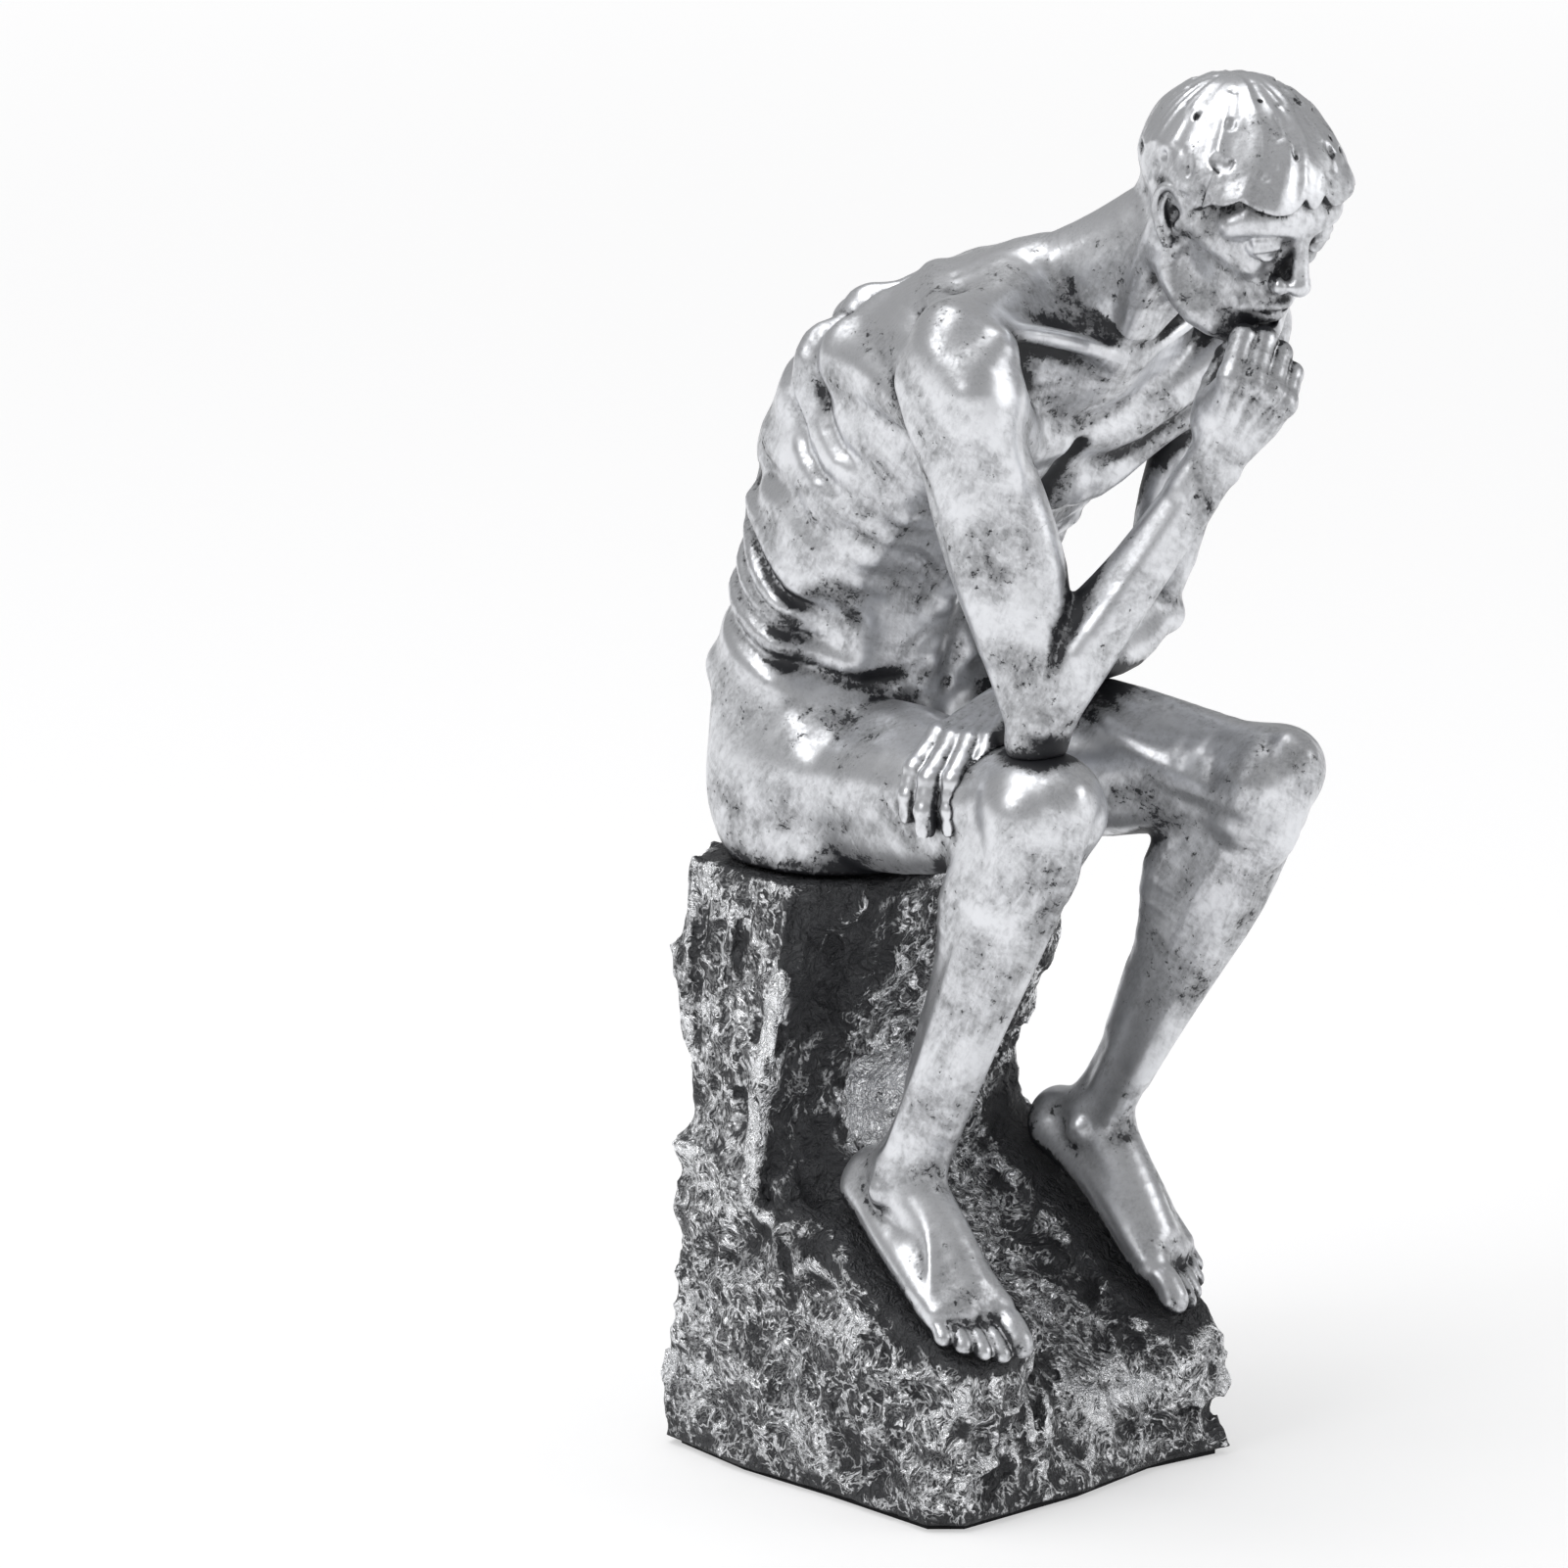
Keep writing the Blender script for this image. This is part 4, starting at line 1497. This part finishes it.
def makeCrumpled():
    # crumpled foil: thin bright walls between dark cells of three sizes, wound and broken up
    group, start, end = newGroup("crumpledRock", {"Walls": 0.0}, ["Crest", "Height"])
    where = objectPlaces(group)
    wound = where
    for scale, amount in crumpled["windings"]:
        wound = wavering(group, wound, scale, amount)
    breaks = []
    for name in ("largeBreaks", "middleBreaks"):
        noise, limits = crumpled[name]
        breaks.append(remap(group, noiseNode(group, where, *noise), *limits))
    crests, heights = [], []
    for lie in crumpled["lies"]:
        places = mapped(group, wound, "POINT", *lie)
        walls, lifts = [], []
        for scale, (low, high), weight in crumpled["cells"]:
            gap = cellWalls(group, places, scale)
            walls.append(remap(group, gap, low, high, 1, 0))
            lifts.append(times(group, remap(group, gap, 0.0, 0.5, 1, 0), weight))
        walls = [times(group, wall, share)
                 for wall, share in zip(walls, (*breaks, crumpled["smallShare"]))]
        crests.append(maths(group, "MAXIMUM", maths(group, "MAXIMUM", walls[0], walls[1]),
                            walls[2]))
        heights.append(plus(group, *lifts))
    for (low, high), label in ((crests, "Crest"), (heights, "Height")):
        mixed = plus(group, times(group, high, start.outputs["Walls"]),
                     times(group, low, lessFromOne(group, start.outputs["Walls"])))
        link(group, mixed, end.inputs[label])
    return group


brushedGroup = makeBrushed()
crumpledGroup = makeCrumpled()


def newMaterial(name):
    material = bpy.data.materials.new(name)
    material.use_nodes = True
    tree = material.node_tree
    return material, tree, tree.nodes["Principled BSDF"]


def markNode(tree, name):
    node = tree.nodes.new("ShaderNodeAttribute")
    node.attribute_name = name
    return node.outputs["Fac"]


def markWithin(tree, name, limits):
    return remap(tree, markNode(tree, name), *limits)


def blendColours(tree, share, a, b):
    node = tree.nodes.new("ShaderNodeMix")
    node.data_type = "RGBA"
    link(tree, share, node.inputs[0])
    node.inputs[6].default_value = (*a, 1)
    node.inputs[7].default_value = (*b, 1)
    return node.outputs[2]


def placed(tree, group, **values):
    node = tree.nodes.new("ShaderNodeGroup")
    node.node_tree = group
    for label, value in values.items():
        if isinstance(value, (int, float)):
            node.inputs[label].default_value = value
        else:
            link(tree, value, node.inputs[label])
    return node.outputs


def addBump(tree, shader, height, strength, distance):
    bump = tree.nodes.new("ShaderNodeBump")
    bump.inputs["Strength"].default_value = strength
    bump.inputs["Distance"].default_value = distance
    link(tree, height, bump.inputs["Height"])
    link(tree, bump.outputs[0], shader.inputs["Normal"])


def dressed(tree, shader, silver, height, coat):
    # silver is 1 where the metal coat lies and 0 on the bare dark resin
    link(tree, blendColours(tree, silver, finish["patina"], coat["colour"]),
         shader.inputs["Base Color"])
    link(tree, times(tree, silver, finish["metallic"]), shader.inputs["Metallic"])
    link(tree, remap(tree, silver, 0, 1, finish["patinaRoughness"], coat["roughness"]),
         shader.inputs["Roughness"])
    addBump(tree, shader, height, *coat["bump"])


figureCoat = {
    "colour": (0.8, 0.812, 0.84), "roughness": 0.32, "bump": (0.25, 0.0003),
    "thin": 0.44, "strokes": 0.36, "specks": 0.66, "tone": 0.86,
    # limits of each mark, and how much thinner or thicker the silver gets between them
    "hollow": (0.02, 0.5, 0.0, 0.66), "under": 0.14, "crest": (0.15, 0.7, 0.0, 0.3),
}
rockCoat = {
    "colour": (0.92, 0.93, 0.95), "roughness": 0.27, "bump": (0.85, 0.0012),
    "crumples": 0.72, "crest": (0.2, 0.85, 0.0, 0.75), "hollow": (0.06, 0.6, 0.0, 0.62),
    # noises: scale, detail, roughness and distortion, and their swings
    "patches": (90, 4, 0.6, 0.5), "patchSwing": 0.9, "grain": (1500, 3, 0.7), "grainSwing": 0.5,
    "silver": (0.2, 0.74, 0.03, 1.0),
}


def makeFigureSilver():
    material, tree, shader = newMaterial("antiqueSilver")
    # hollows and undersides keep the dark, crests are rubbed bright
    thin = plus(tree, figureCoat["thin"], markWithin(tree, "hollow", figureCoat["hollow"]))
    thin = plus(tree, thin, times(tree, markNode(tree, "under"), figureCoat["under"]))
    thin = maths(tree, "SUBTRACT", thin, markWithin(tree, "crest", figureCoat["crest"]))
    out = placed(tree, brushedGroup, Thin=thin, Strokes=figureCoat["strokes"],
                 Specks=figureCoat["specks"], Tone=figureCoat["tone"])
    dressed(tree, shader, out["Silver"], out["Height"], figureCoat)
    return material


def makeRockSilver():
    # silver lies on the crumples' crests and on broad edges, and never in the hollows: the sum of
    # these marks, with a little noise, is cut off by a steep ramp
    material, tree, shader = newMaterial("antiqueRock")
    where = objectPlaces(tree)
    crumples = placed(tree, crumpledGroup, Walls=markNode(tree, "wall"))
    share = plus(tree, times(tree, crumples["Crest"], rockCoat["crumples"]),
                 markWithin(tree, "crest", rockCoat["crest"]))
    share = maths(tree, "SUBTRACT", share, markWithin(tree, "hollow", rockCoat["hollow"]))
    share = plus(tree, share, swing(tree, noiseNode(tree, where, *rockCoat["patches"]),
                                    rockCoat["patchSwing"]),
                 swing(tree, noiseNode(tree, where, *rockCoat["grain"]), rockCoat["grainSwing"]))
    dressed(tree, shader, remap(tree, share, *rockCoat["silver"]), crumples["Height"], rockCoat)
    return material


plainFinishes = {
    "coverBoard": {"colour": (0.05, 0.042, 0.036), "roughness": 0.8, "metallic": 0.0, "scale": 900,
                   "contrast": 0.4, "bump": (0.3, 0.0003)},
    "feltCloth": {"colour": (0.012, 0.012, 0.014), "roughness": 0.95, "metallic": 0.0,
                  "scale": 2600, "contrast": 0.7, "bump": (0.6, 0.0004)},
    "steelPin": {"colour": (0.56, 0.57, 0.58), "roughness": 0.32, "metallic": 1.0, "scale": 1500,
                 "contrast": 0.15, "bump": (0.1, 0.0001)},
}


def plainGrain(name):
    made = plainFinishes[name]
    material, tree, shader = newMaterial(name)
    grain = noiseNode(tree, objectPlaces(tree), made["scale"], 5, 0.6)
    pale = tuple(min(c * (1 + made["contrast"]), 1) for c in made["colour"])
    deep = tuple(c * (1 - made["contrast"]) for c in made["colour"])
    link(tree, blendColours(tree, grain, deep, pale), shader.inputs["Base Color"])
    shader.inputs["Metallic"].default_value = made["metallic"]
    least, most = max(made["roughness"] - 0.1, 0), min(made["roughness"] + 0.1, 1)
    link(tree, remap(tree, grain, 0.2, 0.8, least, most), shader.inputs["Roughness"])
    addBump(tree, shader, grain, *made["bump"])
    return material


antiqueSilver = makeFigureSilver()
antiqueRock = makeRockSilver()
steelPin = plainGrain("steelPin")
hidden = {"base_cover": plainGrain("coverBoard"), "felt_pad": plainGrain("feltCloth")}
for name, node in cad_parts.items():
    material = steelPin if "pin" in name else hidden.get(name)
    if material:
        for slot in node.material_slots:
            slot.material = material


wear = {
    "nearReach": (2.2, 4.5), "crestReach": 3.0,  # in steps of the piece's own grid
    "farReach": (3.5, 7.0), "nearShare": 0.5, "farShare": 0.6,
    # round a joint: mm off its plane, the fade beyond, mm round its middle, and the mark there
    "seamBand": 1.5, "seamFade": 3.0, "seamReach": 22.0, "seamCrest": 0.12,
    # the face keeps less dark than the hair: share on the face, and what the hair adds to it
    "headHollow": (0.5, 0.25), "hairHollow": 0.05, "headUnder": 0.4, "headCrest": (0.35, -0.25),
}
rockWear = {
    "near": 0.35, "far": 0.5, "deep": 0.35, "foot": 0.45, "shade": 0.34,
    "deepReach": 13.0, "deepFull": 8.5, "footHeight": 7.0, "legReach": 7.0, "recessShade": 0.75,
    "recessReach": 13.0, "lineReach": 1.2, "lineCrest": 0.72,
    "fineCrest": 0.6, "broadCrest": 0.5, "broadReach": 6.0, "mostCrest": 0.6, "shadeRub": 0.6,
    "wallFoot": 46.0, "wallFade": 20.0,
}


def rubbedCrest(name, clay, places):
    crest = ridges(clay, places, wear["crestReach"] * clay.cell)
    seams = joints.values() if name == "torso" else [joints[name]] if name in joints else []
    for middle, along in seams:
        # the cut ends don't count as crests
        beside = np.abs((places - middle) @ along)
        beside = np.where(np.linalg.norm(places - middle, axis=1) < wear["seamReach"], beside, 99)
        crest = mix(wear["seamCrest"], crest,
                    np.clip((beside - wear["seamBand"]) / wear["seamFade"], 0, 1))
    return crest


def rockMarks(clays, wide, places, slope, near, far, crest):
    share = rockWear
    deep = np.clip(1 - depthAt(wide, places + slope * share["deepReach"]) / share["deepFull"], 0, 1)
    height = places[:, 2]
    shade = np.clip(1.5 - nearRun(places, "recess") / share["recessReach"], 0, 1)
    line = np.clip(1.6 - nearRun(places, "crest") / share["lineReach"], 0, 1)
    foot = np.clip(1 - height / share["footHeight"], 0, 1)
    legs = np.minimum(depthAt(clays["right_leg"], places), depthAt(clays["left_leg"], places))
    legs = np.clip(1.3 - legs / share["legReach"], 0, 1)
    shade = np.maximum(share["recessShade"] * shade, legs)
    hollow = (share["near"] * near + share["far"] * far + share["deep"] * deep
              + share["foot"] * foot + share["shade"] * shade) * (1 - line)
    broad = ridges(wide, places, share["broadReach"]) * np.clip((height - 5) / 12, 0, 1)
    rub = share["fineCrest"] * crest + share["broadCrest"] * broad
    rub = rub * (1 - share["shadeRub"] * shade)
    rub = np.maximum(np.minimum(rub, share["mostCrest"]), share["lineCrest"] * line)
    return {"hollow": hollow, "crest": rub,
            "wall": np.clip((height - share["wallFoot"]) / share["wallFade"], 0, 1)}


def marksOf(name, clays, wide, places):
    # how closed in, how rubbed and how turned down each corner is, from 0 to 1, for the materials
    clay = clays[name]
    slope = slopeAt(clay, places)[0]
    near = hollows(clay, places, slope, [reach * clay.cell for reach in wear["nearReach"]])
    far = hollows(wide, places, slope, wear["farReach"])
    crest = rubbedCrest(name, clay, places)
    marks = {"hollow": wear["nearShare"] * near + wear["farShare"] * far, "crest": crest,
             "under": np.clip(-slope[:, 2], 0, 1)}
    if name == "head":
        hair = hairShare(places)
        (share, more), (crestShare, moreCrest) = wear["headHollow"], wear["headCrest"]
        marks["hollow"] = (share + more * hair) * marks["hollow"] + wear["hairHollow"] * hair
        marks["under"] = wear["headUnder"] * marks["under"]
        marks["crest"] = (crestShare + moreCrest * hair) * marks["crest"]
    if name == "rock_shell":
        marks.update(rockMarks(clays, wide, places, slope, near, far, crest))
    return marks


clays = buildClays()
wide = wideClay(clays)
for name, clay in clays.items():
    places, faces = largestPart(*skinOf(clay))
    piece = meshOf(name, places, faces, marksOf(name, clays, wide, places))
    piece.data.materials.append(antiqueRock if name == "rock_shell" else antiqueSilver)
    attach(piece, "root")
    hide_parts(name)
    print("skinned", name, len(places), "corners")


studio = {
    "azimuth": -43.0, "elevation": 14.5, "distance": 1.8, "lens": 231.0,
    "aimHeight": 0.1242, "shiftRight": 0.0300, "lampAimHeight": 0.13,
    # each softbox: metres to the right, towards the camera and up, then its size and its watts
    "softboxes": {"keyLight": (-1.0, 0.8, 0.9, 0.7, 5.4), "fillLight": (1.3, 0.3, 0.5, 0.8, 3.4),
                  "topLight": (-0.2, -0.15, 1.5, 1.1, 7.0)},
    "sun": 0.5, "sunPlace": (-0.5, 0.3, 1.2), "sunSpread": 40.0,
    "world": 0.34, "backdrop": 0.34, "floor": (0.6, 0.6, 0.605), "floorSize": 6.0,
    "floorGlow": (0.48, 0.8), "glowReach": (0.3, 3.0),
}


def seenByCamera(tree):
    # 1 for what the camera sees, straight, in a reflection or through glass
    rays = tree.nodes.new("ShaderNodeLightPath").outputs
    indirect = maths(tree, "MAXIMUM", rays["Is Glossy Ray"], rays["Is Transmission Ray"])
    return maths(tree, "MAXIMUM", rays["Is Camera Ray"], indirect)


def addAimed(name, data, place, away, axis):
    thing = bpy.data.objects.new(name, data)
    thing.location = place
    thing.rotation_euler = away.to_track_quat(axis, "Y").to_euler()
    bpy.context.scene.collection.objects.link(thing)
    return thing


def makeCamera(away, right):
    camera = bpy.data.cameras.new("camera")
    camera.lens = studio["lens"]
    camera.clip_end = 20
    aim = Vector((0, 0, studio["aimHeight"])) - right * studio["shiftRight"]
    place = aim + away * studio["distance"]
    bpy.context.scene.camera = addAimed("camera", camera, place, -away, "-Z")


def makeLamps(away, right):
    up = Vector((0, 0, 1))
    aim = up * studio["lampAimHeight"]
    for name, (aside, ahead, high, size, power) in studio["softboxes"].items():
        light = bpy.data.lights.new(name, "AREA")
        light.size = size
        light.energy = power
        place = right * aside + away * ahead + up * high
        addAimed(name, light, place, place - aim, "Z")
    sun = bpy.data.lights.new("sun", "SUN")
    sun.energy = studio["sun"]
    sun.angle = math.radians(studio["sunSpread"])
    aside, ahead, high = studio["sunPlace"]
    addAimed("sun", sun, (0, 0, 0), right * aside + away * ahead + up * high, "Z")


def makeWorld():
    world = bpy.data.worlds.new("studio")
    world.use_nodes = True
    tree = world.node_tree
    background = tree.nodes["Background"].inputs
    background["Color"].default_value = (1, 1, 1, 1)
    link(tree, remap(tree, seenByCamera(tree), 0, 1, studio["world"], studio["backdrop"]),
         background["Strength"])
    bpy.context.scene.world = world


def makeFloor():
    size = studio["floorSize"]
    mesh = bpy.data.meshes.new("floor")
    mesh.from_pydata([(-size, -size, 0), (size, -size, 0), (size, size, 0), (-size, size, 0)], [],
                     [(0, 1, 2, 3)])
    floor = bpy.data.objects.new("floor", mesh)
    bpy.context.scene.collection.objects.link(floor)
    material, tree, shader = newMaterial("paleFloor")
    shader.inputs["Base Color"].default_value = (*studio["floor"], 1)
    shader.inputs["Roughness"].default_value = 0.9
    shader.inputs["Specular IOR Level"].default_value = 0.1
    # the floor shows white to the camera, straight or in reflections, and keeps the shadow
    shader.inputs["Emission Color"].default_value = (1, 1, 1, 1)
    length = tree.nodes.new("ShaderNodeVectorMath")
    length.operation = "LENGTH"
    link(tree, objectPlaces(tree), length.inputs[0])
    glow = remap(tree, length.outputs["Value"], *studio["glowReach"], *studio["floorGlow"])
    link(tree, times(tree, seenByCamera(tree), glow), shader.inputs["Emission Strength"])
    mesh.materials.append(material)


def makeStudio():
    turn, lift = math.radians(studio["azimuth"]), math.radians(studio["elevation"])
    away = Vector((math.cos(lift) * math.cos(turn), math.cos(lift) * math.sin(turn),
                   math.sin(lift)))
    right = Vector((-math.sin(turn), math.cos(turn), 0))
    makeCamera(away, right)
    makeLamps(away, right)
    makeWorld()
    makeFloor()


makeStudio()
bpy.context.scene.view_settings.view_transform = "Standard"
print("studio ready")
